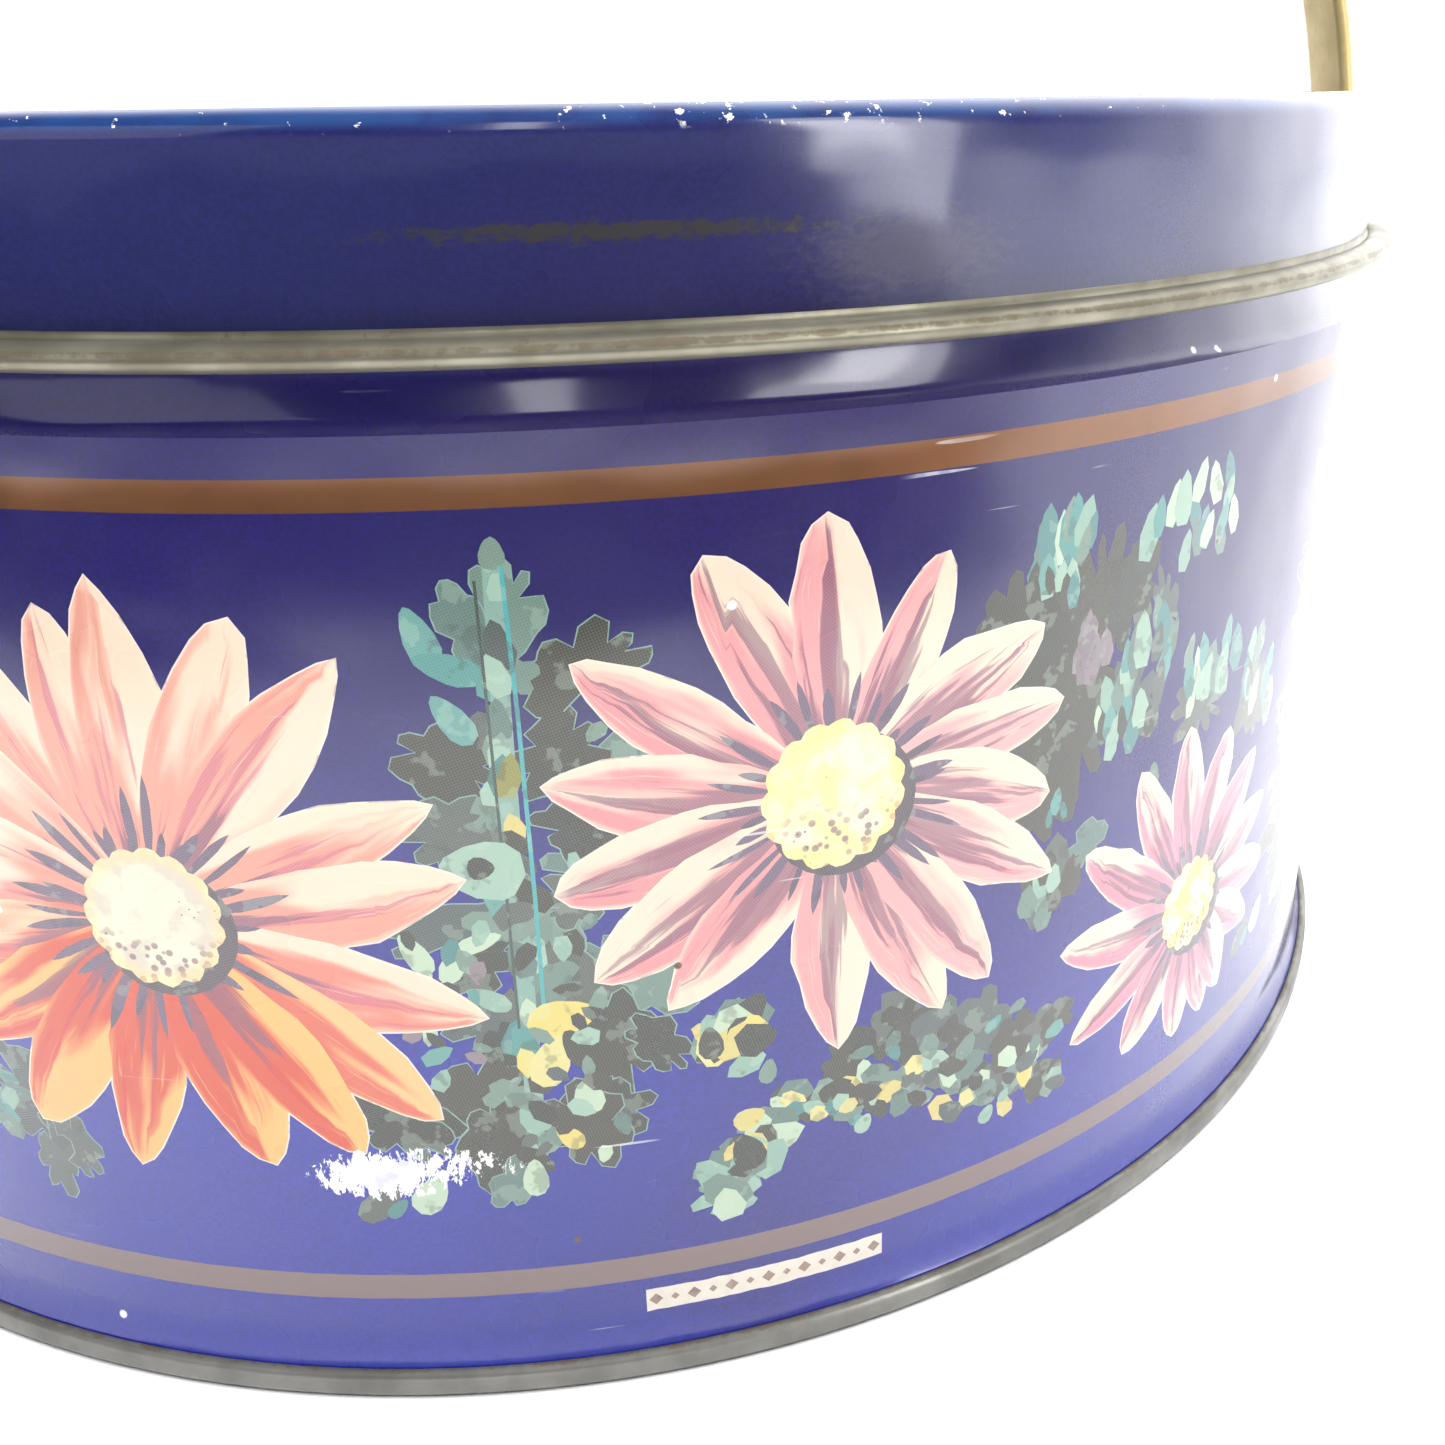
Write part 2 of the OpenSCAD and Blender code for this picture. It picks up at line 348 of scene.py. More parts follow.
def wall_wear(sh, p):
    """White where the print is gone: specks, fine scratches and the ragged scuff low on the front."""
    flecks = sh.specks(p.place, 330, 0.16, 0.012)
    flow = sh.node("ShaderNodeMapping", inputs={
        "Vector": p.flat, "Rotation": (0, 0, 0.9), "Scale": (60, 1100, 1)})
    scratch = sh.step(sh.noise(flow, 1.0, 1), 0.735, 0.76)
    scratch = sh.times(scratch, sh.step(sh.noise(p.place, 60, 2), 0.55, 0.68))
    rag = sh.node("ShaderNodeMapping", inputs={"Vector": p.flat, "Scale": (1.0, 0.42, 1)})
    torn = sh.less(sh.noise(rag, 1300, 5, 0.7, 0.5), 0.5)
    core = oval(sh, p, -19.5, 23.6, 8.5, 3.4)
    reach = sh.times(oval(sh, p, -16.0, 24.4, 15.5, 3.4), 0.55)
    scuff = sh.most(core, reach)
    scuff = sh.add(scuff, sh.times(torn, sh.step(scuff, 0.0, 0.3, 0.0, 1.9)))
    scuff = sh.step(scuff, 0.34, 0.42)
    return sh.most(flecks, sh.times(scratch, 0.45), scuff)


def lid_corner(sh, p, low):
    """1 on the lid's rounded top corner, fading out below the height called low."""
    height = sh.split(p.place)[2]
    from_axis = sh.vector("LENGTH", sh.vector("MULTIPLY", p.place, (1, 1, 0)), (0, 0, 0), "Value")
    return sh.times(sh.step(height, (low - 0.4) * MM, (low + 0.4) * MM),
                    sh.step(from_axis, (LID_R - 3.4) * MM, (LID_R - 1.6) * MM))


def lid_wear(sh, p):
    """Chips along the lid's top corner, and specks."""
    corner = lid_corner(sh, p, LID_TOP - 1.5)
    ragged = sh.noise(p.place, 850, 4, 0.65)
    where = sh.step(sh.noise(p.place, 26, 2), 0.45, 0.62, 0.0, 0.1)
    chips = sh.times(sh.step(sh.add(ragged, where), 0.66, 0.7), corner)
    return sh.most(chips, sh.specks(p.place, 260, 0.14, 0.012))


def finish_print(sh, shader, p, colour, gloss, wear=None):
    """Varnished print on tinplate: wear, slightly uneven gloss and a gently wavy surface."""
    rough = sh.step(sh.noise(p.place, 60, 3), 0.3, 0.7, gloss - 0.04, gloss + 0.06)
    if wear is not None:
        tint = sh.noise(p.place, 420, 2)
        white = sh.mix(sh.step(tint, 0.3, 0.42), srgb(206, 206, 226), srgb(250, 248, 242))
        colour = sh.mix(wear, colour, white)
        rough = sh.most(rough, sh.times(wear, 0.6))
    brown = sh.specks(p.place, 300, 0.13, 0.02)
    colour = sh.mix(brown, colour, srgb(92, 62, 34))
    sh.put(shader.inputs["Base Color"], colour)
    sh.put(shader.inputs["Roughness"], rough)
    shader.inputs["Specular IOR Level"].default_value = 0.4
    shader.inputs["Coat Weight"].default_value = 1.0
    shader.inputs["Coat Roughness"].default_value = 0.1
    shader.inputs["Coat IOR"].default_value = 1.5
    waves = sh.bump(sh.noise(p.place, 24, 1, 0.4), 0.0011)
    waves = sh.bump(sh.noise(p.place, 80, 1, 0.4), 0.0003, waves)
    sh.put(shader.inputs["Normal"], waves)
    sh.put(shader.inputs["Coat Normal"], waves)


def enamel_material(name, wear_of, upper, soiled=False):
    """Navy enamel in the tone called upper, painted a lighter, purer blue towards the foot: painted
    reflection of the bright floor.
    """
    mat, sh, shader = new_material(name)
    p = Print(sh)
    cloud = sh.noise(p.place, 16, 3, 0.55)
    # painted reflection of the bright floor: a lighter, purer blue towards the foot
    foot = sh.step(sh.add(sh.split(p.place)[2], sh.times(cloud, 0.03)), 0.088, 0.038)
    colour = sh.mix(foot, upper, srgb(32, 40, 148))
    colour = sh.mix(sh.step(cloud, 0.4, 0.7, 0.0, 0.3), colour, srgb(24, 24, 70))
    plum = sh.step(sh.noise(p.place, 9, 2), 0.5, 0.68)
    colour = sh.mix(sh.times(plum, 0.35), colour, srgb(46, 22, 84))
    grain = sh.step(sh.noise(p.place, 2600, 1), 0.35, 0.65, 0.88, 1.1)
    colour = sh.mix(1.0, colour, sh.join(grain, grain, grain), "MULTIPLY")
    if soiled:
        rubbed = sh.step(sh.noise(p.place, 60, 4, 0.65), 0.4, 0.62)
        rubbed = sh.times(lid_corner(sh, p, LID_TOP - 1.3), rubbed)
        colour = sh.mix(sh.times(rubbed, 0.7), colour, srgb(24, 70, 126))
        streak = sh.node("ShaderNodeMapping", inputs={"Vector": p.flat, "Scale": (0.5, 1.0, 1)})
        torn = sh.times(sh.less(sh.noise(streak, 1500, 4, 0.75), 0.5), 3.4)
        dirt = sh.add(sh.times(oval(sh, p, 5.0, 101.2, 27, 1.2), 1.5), torn)
        colour = sh.mix(sh.step(dirt, 0.5, 1.1, 0.0, 0.8), colour, srgb(54, 52, 34))
        stain = sh.add(sh.times(oval(sh, p, 27.0, 98.8, 14, 5.0), 1.6), sh.times(torn, 0.7))
        colour = sh.mix(sh.step(stain, 0.3, 1.3, 0.0, 0.3), colour, srgb(96, 90, 84))
    finish_print(sh, shader, p, colour, 0.24, wear_of(sh, p))
    return mat


def ink_material():
    """Flat inks of the leaves, stems and outlines, in the tone that each shape carries."""
    mat, sh, shader = new_material("leaf_inks")
    p = Print(sh)
    seeded = sh.vector("ADD", p.place, sh.join(p.seed, p.seed, p.seed))
    soft = sh.noise(seeded, 300, 3, 0.6)
    colour = sh.mix(sh.step(soft, 0.42, 0.36, 0.0, 0.4), p.tone, srgb(46, 56, 54))
    colour = sh.mix(sh.step(soft, 0.58, 0.62, 0.0, 0.16), colour, srgb(190, 212, 190))
    colour = sh.mix(sh.times(screen_dots(sh, p, 18), 0.08), colour, srgb(190, 212, 196))
    finish_print(sh, shader, p, colour, 0.28, wall_wear(sh, p))
    return mat


def petal_material():
    """Brushed petals: u runs from the disc to the tip, v across, and the lit side has v above 0."""
    mat, sh, shader = new_material("petal_print")
    p = Print(sh)
    u, v, _ = sh.split(p.local)
    red, green, blue = sh.split(p.tone)
    warm = sh.step(sh.math("DIVIDE", green, red), 0.3, 0.15)    # orange petals
    pink = sh.step(sh.less(blue, green), -0.1, 0.02)    # rose petals
    broad = sh.noise(sh.join(sh.times(u, 1.0), sh.times(v, 0.9), p.seed), 1.3, 2, 0.5)
    long = sh.noise(sh.join(sh.times(u, 0.9), sh.times(v, 2.2), sh.add(p.seed, 5.0)), 1.5, 3, 0.55, 0.2)
    fine = sh.noise(sh.join(sh.times(u, 1.5), sh.times(v, 7.0), sh.add(p.seed, 9.0)), 1.5, 2, 0.6, 0.3)
    cream = sh.mix(sh.times(warm, 0.9), srgb(236, 212, 186), srgb(230, 180, 92))
    deep = sh.mix(warm, srgb(190, 96, 114), srgb(196, 46, 44))
    mauve = srgb(108, 78, 100)
    # a pale lit side, and cream towards the tip
    lit = sh.add(sh.times(v, 0.36), sh.times(u, 0.5), sh.times(sh.less(broad, 0.5), 1.6))
    colour = sh.mix(sh.step(lit, 0.2, 0.52, 0.0, 0.85), p.tone, cream)
    # deeper strokes on the shaded side
    stroke = sh.times(sh.math("ABSOLUTE", sh.add(v, 0.3)), -0.26)
    stroke = sh.add(sh.less(long, 0.5), stroke, sh.times(u, -0.12))
    colour = sh.mix(sh.step(stroke, -0.1, -0.01, 0.0, 0.75), colour, deep)
    # thin cream brush lines
    colour = sh.mix(sh.times(sh.step(fine, 0.62, 0.67), sh.step(u, 0.3, 0.6), 0.4), colour, cream)
    # mauve shade from the disc outwards, longest in the rose petals
    reach = sh.step(pink, 0.0, 1.0, -1.5, -0.42)
    shade = sh.add(sh.times(sh.less(long, 0.5), 1.5), sh.times(u, reach))
    shade = sh.add(shade, sh.times(sh.math("ABSOLUTE", sh.add(v, 0.1)), -0.62))
    colour = sh.mix(sh.step(shade, -0.46, -0.34, 0.0, 0.7), colour, mauve)
    edge = sh.most(sh.step(sh.math("ABSOLUTE", v), 0.84, 0.97), sh.step(u, 0.93, 0.99))
    colour = sh.mix(sh.times(edge, 0.45, sh.step(u, 0.3, 0.6)), colour, cream)
    colour = sh.mix(sh.times(screen_dots(sh, p, 45), 0.08), colour, cream)
    finish_print(sh, shader, p, colour, 0.28, wall_wear(sh, p))
    return mat


def disc_material():
    """The stippled middle of a flower: u and v run from -1 to 1 across it."""
    mat, sh, shader = new_material("disc_print")
    p = Print(sh)
    u, v, _ = sh.split(p.local)
    where = sh.join(u, v, p.seed)
    colour = sh.mix(sh.step(sh.noise(where, 2.2, 3), 0.42, 0.6), p.tone, srgb(226, 222, 190))
    low = sh.step(sh.add(v, sh.times(sh.noise(where, 1.5), 0.9)), 0.35, -0.1)
    spot = sh.step(sh.cells(where, 7.0), 0.44, 0.3)
    colour = sh.mix(sh.times(spot, low, 0.85), colour, srgb(132, 104, 112))
    brown = sh.times(sh.step(sh.cells(where, 9), 0.2, 0.12), sh.step(sh.noise(where, 1.7), 0.56, 0.62))
    colour = sh.mix(brown, colour, srgb(128, 84, 44))
    rim = sh.math("SQRT", sh.add(sh.times(u, u), sh.times(v, v)))
    colour = sh.mix(sh.step(rim, 0.76, 1.0, 0.0, 0.5), colour, srgb(236, 204, 128))
    finish_print(sh, shader, p, colour, 0.3, wall_wear(sh, p))
    return mat


def gold_line_material():
    mat, sh, shader = new_material("gold_line")
    p = Print(sh)
    colour = sh.mix(sh.noise(p.place, 120, 4, 0.6), srgb(104, 66, 40), srgb(134, 88, 52))
    # painted reflection of the bright floor: below 3 to 6 cm the gold line is painted paler and greyer, gold
    # with the floor's reflection over it
    colour = sh.mix(sh.step(p.z, 0.03, 0.06), srgb(126, 110, 106), colour)
    finish_print(sh, shader, p, colour, 0.3, wall_wear(sh, p))
    shader.inputs["Metallic"].default_value = 0.6
    return mat


def label_material():
    mat, sh, shader = new_material("label_cream")
    p = Print(sh)
    colour = sh.mix(sh.noise(p.place, 900, 3), srgb(236, 230, 214), srgb(214, 202, 184))
    finish_print(sh, shader, p, colour, 0.34)
    return mat


def metal_material(name, light, dark, brown, metal=0.9, rust_from=0.56, shine=0.3, grime=None):
    """Dull tinplate or lacquer with clouds of another tone, tarnish and fine dents. grime is the height, in
    millimetres, of a brown line of dirt."""
    mat, sh, shader = new_material(name)
    place = sh.node("ShaderNodeTexCoord", out="Object")
    cloud = sh.noise(place, 90, 4, 0.6)
    colour = sh.mix(sh.step(cloud, 0.32, 0.66), dark, light)
    rust = sh.step(sh.noise(place, 260, 5, 0.7), rust_from, rust_from + 0.09)
    if grime is not None:
        height = sh.split(place)[2]
        line = sh.step(sh.math("ABSOLUTE", sh.less(height, grime * MM)), 0.0005, 0.0001)
        line = sh.add(line, sh.times(sh.less(sh.noise(place, 320, 4, 0.7), 0.5), 2.4))
        rust = sh.most(rust, sh.times(sh.step(line, 0.75, 1.1), 0.9))
    colour = sh.mix(sh.times(rust, 0.8), colour, brown)
    sh.put(shader.inputs["Base Color"], colour)
    sh.put(shader.inputs["Metallic"], sh.step(rust, 0.0, 1.0, metal, metal * 0.4))
    sh.put(shader.inputs["Roughness"], sh.step(cloud, 0.3, 0.7, shine + 0.12, shine))
    sh.put(shader.inputs["Normal"], sh.bump(sh.noise(place, 700, 4, 0.6), 0.00004))
    return mat


# ---------------------------------------------------------------- shapes of the print
TONES = {
    "dark": [srgb(52, 50, 40), srgb(46, 46, 38), srgb(58, 54, 44)],
    "grey": [srgb(72, 82, 80), srgb(80, 86, 80), srgb(66, 74, 72)],
    "mid": [srgb(98, 124, 112), srgb(86, 112, 104), srgb(108, 132, 118)],
    "teal": [srgb(72, 138, 132), srgb(90, 146, 138), srgb(64, 122, 120)],
    "mint": [srgb(146, 176, 156), srgb(130, 164, 146), srgb(176, 196, 168)],
    "yellow": [srgb(210, 192, 100), srgb(200, 184, 108), srgb(208, 198, 128)],
    "mauve": [srgb(128, 114, 120), srgb(116, 102, 110)],
    "olive": [srgb(132, 130, 54)],
}


class Shape:
    """One printed shape: its outline, its paint and tone, and how to find a point's place within it."""

    def __init__(self, outline, paint, tone=(0, 0, 0), seed=0.0, local=None, inside=()):
        self.outline = outline
        self.paint = paint
        self.tone = (*tone, seed)
        self.local = local or (lambda s, z: (0.0, 0.0))
        self.inside = list(inside)

    def moved(self, ds):
        near = self.local
        return Shape([(s + ds, z) for s, z in self.outline], self.paint, self.tone[:3], self.tone[3],
                     lambda s, z: near(s - ds, z), [(s + ds, z) for s, z in self.inside])

    def grown(self, by, tone):
        """A flat copy that stands out all round, drawn under the shape as its outline."""
        way = by if signed_area(self.outline) > 0 else -by
        before = self.outline[-1:] + self.outline[:-1]
        after = self.outline[1:] + self.outline[:1]
        outline = []
        for (s0, z0), (s, z), (s1, z1) in zip(before, self.outline, after):
            long = math.hypot(s1 - s0, z1 - z0) or 1.0
            outline.append((s + way * (z1 - z0) / long, z - way * (s1 - s0) / long))
        return Shape(outline, "ink", tone)


def signed_area(outline):
    return sum(a[0] * b[1] - b[0] * a[1] for a, b in zip(outline, outline[1:] + outline[:1])) / 2


def petal(rng, centre, angle, length, width, bend, tone, start, sharp=1.0, lit_side=1, paint="petal",
          steps=9):
    """A petal that starts near the disc. bend moves its tip sideways, and a higher sharp thins the tip."""
    along = Vector((math.cos(math.radians(angle)), math.sin(math.radians(angle))))
    across = Vector((-along.y, along.x))
    root = Vector(centre) + along * start
    reach = length - start
    half = width / 2
    wide = 0.52

    def half_width(u):
        if u < wide:
            return half * (0.42 + 0.58 * math.sin(math.pi / 2 * u / wide))
        return half * max(math.cos(math.pi / 2 * (u - wide) / (1 - wide)), 0.0) ** (0.64 * sharp)

    def point(u, side):
        spot = root + along * (reach * u) + across * (bend * u * u + side * half_width(u))
        return (spot.x, spot.y)

    def local(s, z):
        offset = Vector((s, z)) - root
        u = min(max(offset.dot(along) / reach, 0.0), 1.0)
        v = (offset.dot(across) - bend * u * u) / (half_width(u) + 0.05)
        return (u, lit_side * min(max(v, -1.0), 1.0))

    places = [i / steps for i in range(steps)] + [1 - 0.4 / steps]
    sides = [[point(u, side * (1 + 0.07 * rng.uniform(-1, 1))) for u in places] for side in (1, -1)]
    outline = sides[0] + [point(1.0, 0)] + sides[1][::-1]
    inside = [point(u, 0) for u in places[1:-1:2]]
    return Shape(outline, paint, tone, rng.random(), local, inside)


def dab(rng, place, angle, length, width, tone, points=7):
    """An oval dab of ink, narrower at its far end."""
    outline = []
    c, s = math.cos(math.radians(angle)), math.sin(math.radians(angle))
    for i in range(points):
        a = TAU * (i + rng.uniform(-0.2, 0.2)) / points
        x = length / 2 * math.cos(a)
        y = width / 2 * math.sin(a) * (1 - 0.3 * math.cos(a))
        outline.append((place[0] + x * c - y * s, place[1] + x * s + y * c))
    return Shape(outline, "ink", rng.choice(TONES[tone]), rng.random())


def lobed_leaf(rng, base, tip, width, tone, lobes=7):
    """A leaf with rounded lobes of unequal size all round, and a thin pale outline."""
    along = (Vector(tip) - Vector(base)) / 2
    across = Vector((-along.y, along.x)).normalized() * width / 2
    middle = Vector(base) + along
    widths = [rng.uniform(0.5, 1.5) for _ in range(lobes)]
    turn = rng.uniform(0, TAU)
    outline = []
    for wide in widths:
        depth = rng.uniform(0.15, 0.55)
        swell = rng.uniform(0.78, 1.22)
        for i in range(4):
            a = turn + TAU * wide / sum(widths) * i / 4
            far = swell * (1 - depth + depth * math.sin(math.pi * i / 4) ** 0.7) * rng.uniform(0.94, 1.06)
            spot = middle + along * (far * math.cos(a)) + across * (far * math.sin(a))
            outline.append((spot.x, spot.y))
        turn += TAU * wide / sum(widths)
    leaf = Shape(outline, "ink", rng.choice(TONES[tone]), rng.random())
    return [leaf.grown(0.13, srgb(118, 150, 138)), leaf]


def leaves(rng, line, spread, count, length, tones):
    """Lobed leaves scattered along a line of points."""
    shapes = []
    for spot in dabs(rng, line, spread, count, length, tones):
        s = sum(p[0] for p in spot.outline) / len(spot.outline)
        z = sum(p[1] for p in spot.outline) / len(spot.outline)
        a = rng.uniform(0, TAU)
        reach = length / 2 * rng.uniform(0.8, 1.25)
        ds, dz = reach * math.cos(a), reach * math.sin(a)
        shapes += lobed_leaf(rng, (s - ds, z - dz), (s + ds, z + dz), length * rng.uniform(0.6, 0.9),
                             tones[len(shapes) % len(tones)], 5)[1:]
    return shapes


def dabs(rng, line, spread, count, length, tones, angle=None, slim=0.6):
    """Dabs scattered along a line of points. Without an angle each one turns its own way."""
    shapes = []
    lengths = [math.dist(a, b) for a, b in zip(line, line[1:])]
    for i in range(count):
        far = sum(lengths) * (i + rng.uniform(0.1, 0.9)) / count
        for (a, b), long in zip(zip(line, line[1:]), lengths):
            if far <= long:
                break
            far -= long
        share = min(far / long, 1.0)
        off = rng.uniform(-1, 1) * spread
        s = a[0] + (b[0] - a[0]) * share - (b[1] - a[1]) / long * off
        z = a[1] + (b[1] - a[1]) * share + (b[0] - a[0]) / long * off
        turn = rng.uniform(0, 360) if angle is None else angle + rng.uniform(-16, 16)
        size = length * rng.uniform(0.75, 1.3)
        wide = size * slim * rng.uniform(0.8, 1.2)
        shapes.append(dab(rng, (s, z), turn, size, wide, tones[i % len(tones)]))
    return shapes


def stem(points, width, tone):
    """A thin painted stalk along a line of points."""
    left, right = [], []
    for i, (s, z) in enumerate(points):
        a, b = points[max(i - 1, 0)], points[min(i + 1, len(points) - 1)]
        long = math.dist(a, b)
        ds, dz = -(b[1] - a[1]) / long * width / 2, (b[0] - a[0]) / long * width / 2
        left.append((s + ds, z + dz))
        right.append((s - ds, z - dz))
    return Shape(left + right[::-1], "ink", tone)


def disc_shape(rng, centre, r, tone, scallops=15):
    outline = []
    steps = scallops * 4
    for i in range(steps):
        a = TAU * i / steps
        far = (r - 0.35 + 0.5 * abs(math.sin(scallops * a / 2))) * (1 + rng.uniform(-0.012, 0.012))
        outline.append((centre[0] + far * math.cos(a), centre[1] + far * 1.06 * math.sin(a)))
    return Shape(outline, "disc", tone, rng.random(),
                 lambda s, z: ((s - centre[0]) / r, (z - centre[1]) / r))


def flower(rng, centre, disc_r, petals, width, disc_tone, tone_of):
    """Petals given as (angle, length), short dark strokes round the disc, its shadow and the disc."""
    tops = []
    for angle, length in sorted(petals, key=lambda q: -math.sin(math.radians(q[0] - 30))):
        side = 1 if math.sin(math.radians(angle - 40)) < 0 else -1
        wide = width * rng.uniform(0.88, 1.12)
        tops.append(petal(rng, centre, angle, length, wide, rng.uniform(-2.2, 2.2), tone_of(angle),
                          disc_r * 0.5, rng.uniform(0.7, 1.3), side))
    shapes = [top.grown(0.14, srgb(236, 212, 196)) for top in tops] + tops
    for angle, length in petals:
        for turn in (-6, 6):
            reach = disc_r + (length - disc_r) * rng.uniform(0.08, 0.36)
            shapes.append(petal(rng, centre, angle + turn + rng.uniform(-3, 3), reach, rng.uniform(0.6, 1.1),
                                rng.uniform(-0.5, 0.5), srgb(104, 84, 106), disc_r * 0.9, 1.2, 1, "ink", 3))
    shadow = [(centre[0] + 0.75 + (disc_r + 0.35) * math.cos(TAU * i / 24),
               centre[1] - 0.95 + (disc_r + 0.35) * math.sin(TAU * i / 24)) for i in range(24)]
    shapes.append(Shape(shadow, "ink", srgb(82, 70, 78)))
    shapes.append(disc_shape(rng, centre, disc_r, disc_tone))
    return shapes


# Petals of each flower as (angle in degrees, length in millimetres)
FLOWER_1 = [(104, 27), (86, 29), (69, 28), (54, 29), (27, 26), (4, 26), (337, 28), (322, 29), (306, 27),
            (287, 25), (258, 26), (233, 27), (214, 26), (196, 25), (178, 26), (160, 27), (142, 28), (123, 28)]
FLOWER_2 = [(87, 24), (113, 24), (150, 25), (174, 24), (193, 24), (212, 25), (235, 23), (267, 25), (290, 26),
            (308, 27), (331, 26), (352, 22), (13, 23), (35, 23), (59, 22)]
FLOWER_3 = [(125, 21), (102, 21), (78, 19), (52, 18), (24, 17), (355, 17), (330, 16), (308, 16), (288, 16),
            (264, 16), (234, 17), (204, 20), (178, 20), (150, 21)]
FLOWER_4 = [(10 + 26 * i, 22 + i * 5 % 4) for i in range(14)]


def blend_tone(a, b, share):
    return tuple(x + (y - x) * share for x, y in zip(a, b))


def sunset_tone(angle):
    """Salmon above, coral and orange red below."""
    low = max(0.0, -math.sin(math.radians(angle + 8)))
    return blend_tone(srgb(216, 144, 124), srgb(200, 70, 48), min(low * 1.5, 1.0))


def pink_tone(angle):
    """Paler towards the right."""
    return blend_tone(srgb(208, 132, 134), srgb(222, 160, 158), 0.5 + 0.5 * math.cos(math.radians(angle)))


def rose_tone(angle):
    """The same rose at every angle."""
    return srgb(204, 124, 144)


def sprig():
    """The upright sprig between two flowers: a pale column, at s = 0, with lobed leaves on both sides."""
    rng = random.Random(5)
    shapes = []
    for base, tip, width, tone in [
            ((2, 60), (12, 62), 5, "mid"), ((2, 53), (12, 51), 8, "mid"), ((3, 44), (12, 42), 7, "mid"),
            ((5, 40), (16, 41), 5, "mid"), ((-2, 51), (5, 44), 7, "mid"),
            ((1, 70), (1, 79.5), 5.4, "mid"), ((1, 60), (7.5, 66), 7, "dark"),
            ((2, 67), (11.5, 72), 7.5, "dark"), ((2, 57), (9, 55), 6, "dark"),
            ((1, 50), (8, 49), 5, "grey"), ((0, 42), (8, 41), 6, "grey"),
            ((0, 69), (-3, 77), 4.4, "mid"), ((1, 62), (-9, 63.5), 8, "dark"),
            ((0, 57), (-8.5, 56), 8, "grey"), ((0, 46), (-7, 43), 6, "dark"),
            ((0, 48), (-10.5, 47), 4.6, "grey"), ((1, 40), (-7, 38), 6, "grey"),
            ((0, 35), (-10, 29), 8, "dark"), ((0, 32), (-6, 22), 7, "dark"),
            ((6, 40), (9, 31), 7, "dark"), ((8, 38), (13.5, 32), 5.5, "dark"),
            ((1, 29), (10.5, 29), 8, "dark"), ((3, 32), (5.5, 22.5), 7.5, "dark"),
            ((0, 26), (-4, 20), 4, "mid")]:
        shapes += lobed_leaf(rng, base, tip, width, tone)
    shapes += leaves(rng, [(0, 70), (-0.4, 30)], 2.4, 9, 5, ["mid", "grey", "mid", "dark"])
    shapes += dabs(rng, [(0, 70), (-0.4, 30)], 2.6, 10, 3.4, ["teal", "mid", "mint", "grey"], 70)
    shapes.append(stem([(0.4, 79), (0.1, 66), (0, 50), (0, 36), (-0.4, 23)], 1.5, srgb(122, 156, 142)))
    shapes.append(dab(rng, (0.4, 79), 90, 2.6, 1.9, "mid", 12))
    shapes += dabs(rng, [(0.4, 78), (0, 64), (0, 44), (-0.4, 22)], 0.4, 17, 3.4,
                   ["mint", "grey", "mint", "mid", "mint", "teal", "yellow"], 90, 0.55)
    shapes += dabs(rng, [(0, 56), (0, 44)], 1.2, 7, 3.4, ["dark", "grey", "mid"])
    shapes += dabs(rng, [(0, 34), (0, 24)], 1.2, 5, 3.2, ["dark", "mid"])
    shapes.append(dab(rng, (0.2, 61), 80, 4.2, 2.0, "olive"))
    shapes.append(stem([(-1.0, 77), (-0.9, 66), (-0.8, 50), (-0.8, 38)], 0.24, srgb(50, 66, 56)))
    shapes.append(stem([(1.0, 78), (1.3, 66), (1.4, 50), (1.3, 33)], 0.34, srgb(60, 156, 158)))
    # a teal curl, mint dabs and a pale leaf with a dark eye on the left, yellow and dark dabs on the right
    for place, angle, length, width, tone in [
            ((-5.4, 72.6), 110, 5.5, 2.5, "teal"), ((-3.6, 70.2), 160, 5.5, 2.4, "teal"),
            ((-3.6, 66), 125, 5, 2.3, "teal"), ((-2.5, 53), 170, 6.8, 5.2, "mint"),
            ((-2.6, 53.2), 0, 2.2, 2.0, "dark"), ((-8.5, 45.6), 120, 4.4, 2.0, "mint"),
            ((-5.4, 44.6), 60, 4.2, 2.0, "mint"), ((-3.4, 46.4), 20, 4, 1.6, "mint"),
            ((-3, 41), 150, 4, 1.8, "mint"), ((2.8, 38.6), 10, 6, 3.6, "yellow"),
            ((1.6, 34.5), 70, 5.4, 3.2, "yellow"), ((4, 35.5), 120, 4.4, 2.6, "dark"),
            ((4.4, 30.5), 100, 3.6, 2.6, "mint"), ((2.6, 26.6), 130, 3.2, 1.8, "yellow"),
            ((-9.6, 21.4), 60, 4.6, 2.8, "mint"), ((-14, 20.6), 45, 5.4, 2.6, "grey"),
            ((-12.6, 20), 50, 2.6, 1.3, "teal"), ((-0.6, 22.6), 90, 4, 2.2, "mint")]:
        shapes.append(dab(rng, place, angle, length, width, tone, 12))
    shapes += dabs(rng, [(-6, 48), (-6, 40), (-4, 34)], 4, 16, 2.4, ["mint", "dark", "teal", "mid", "mauve"])
    shapes += dabs(rng, [(4, 66), (5, 52), (4, 44), (6, 38)], 3, 18, 2.4,
                   ["dark", "mid", "dark", "mint", "mid"])
    shapes += dabs(rng, [(0, 38), (6, 30), (2, 24)], 3.5, 12, 2.2, ["mid", "dark", "mint", "grey"])
    return shapes


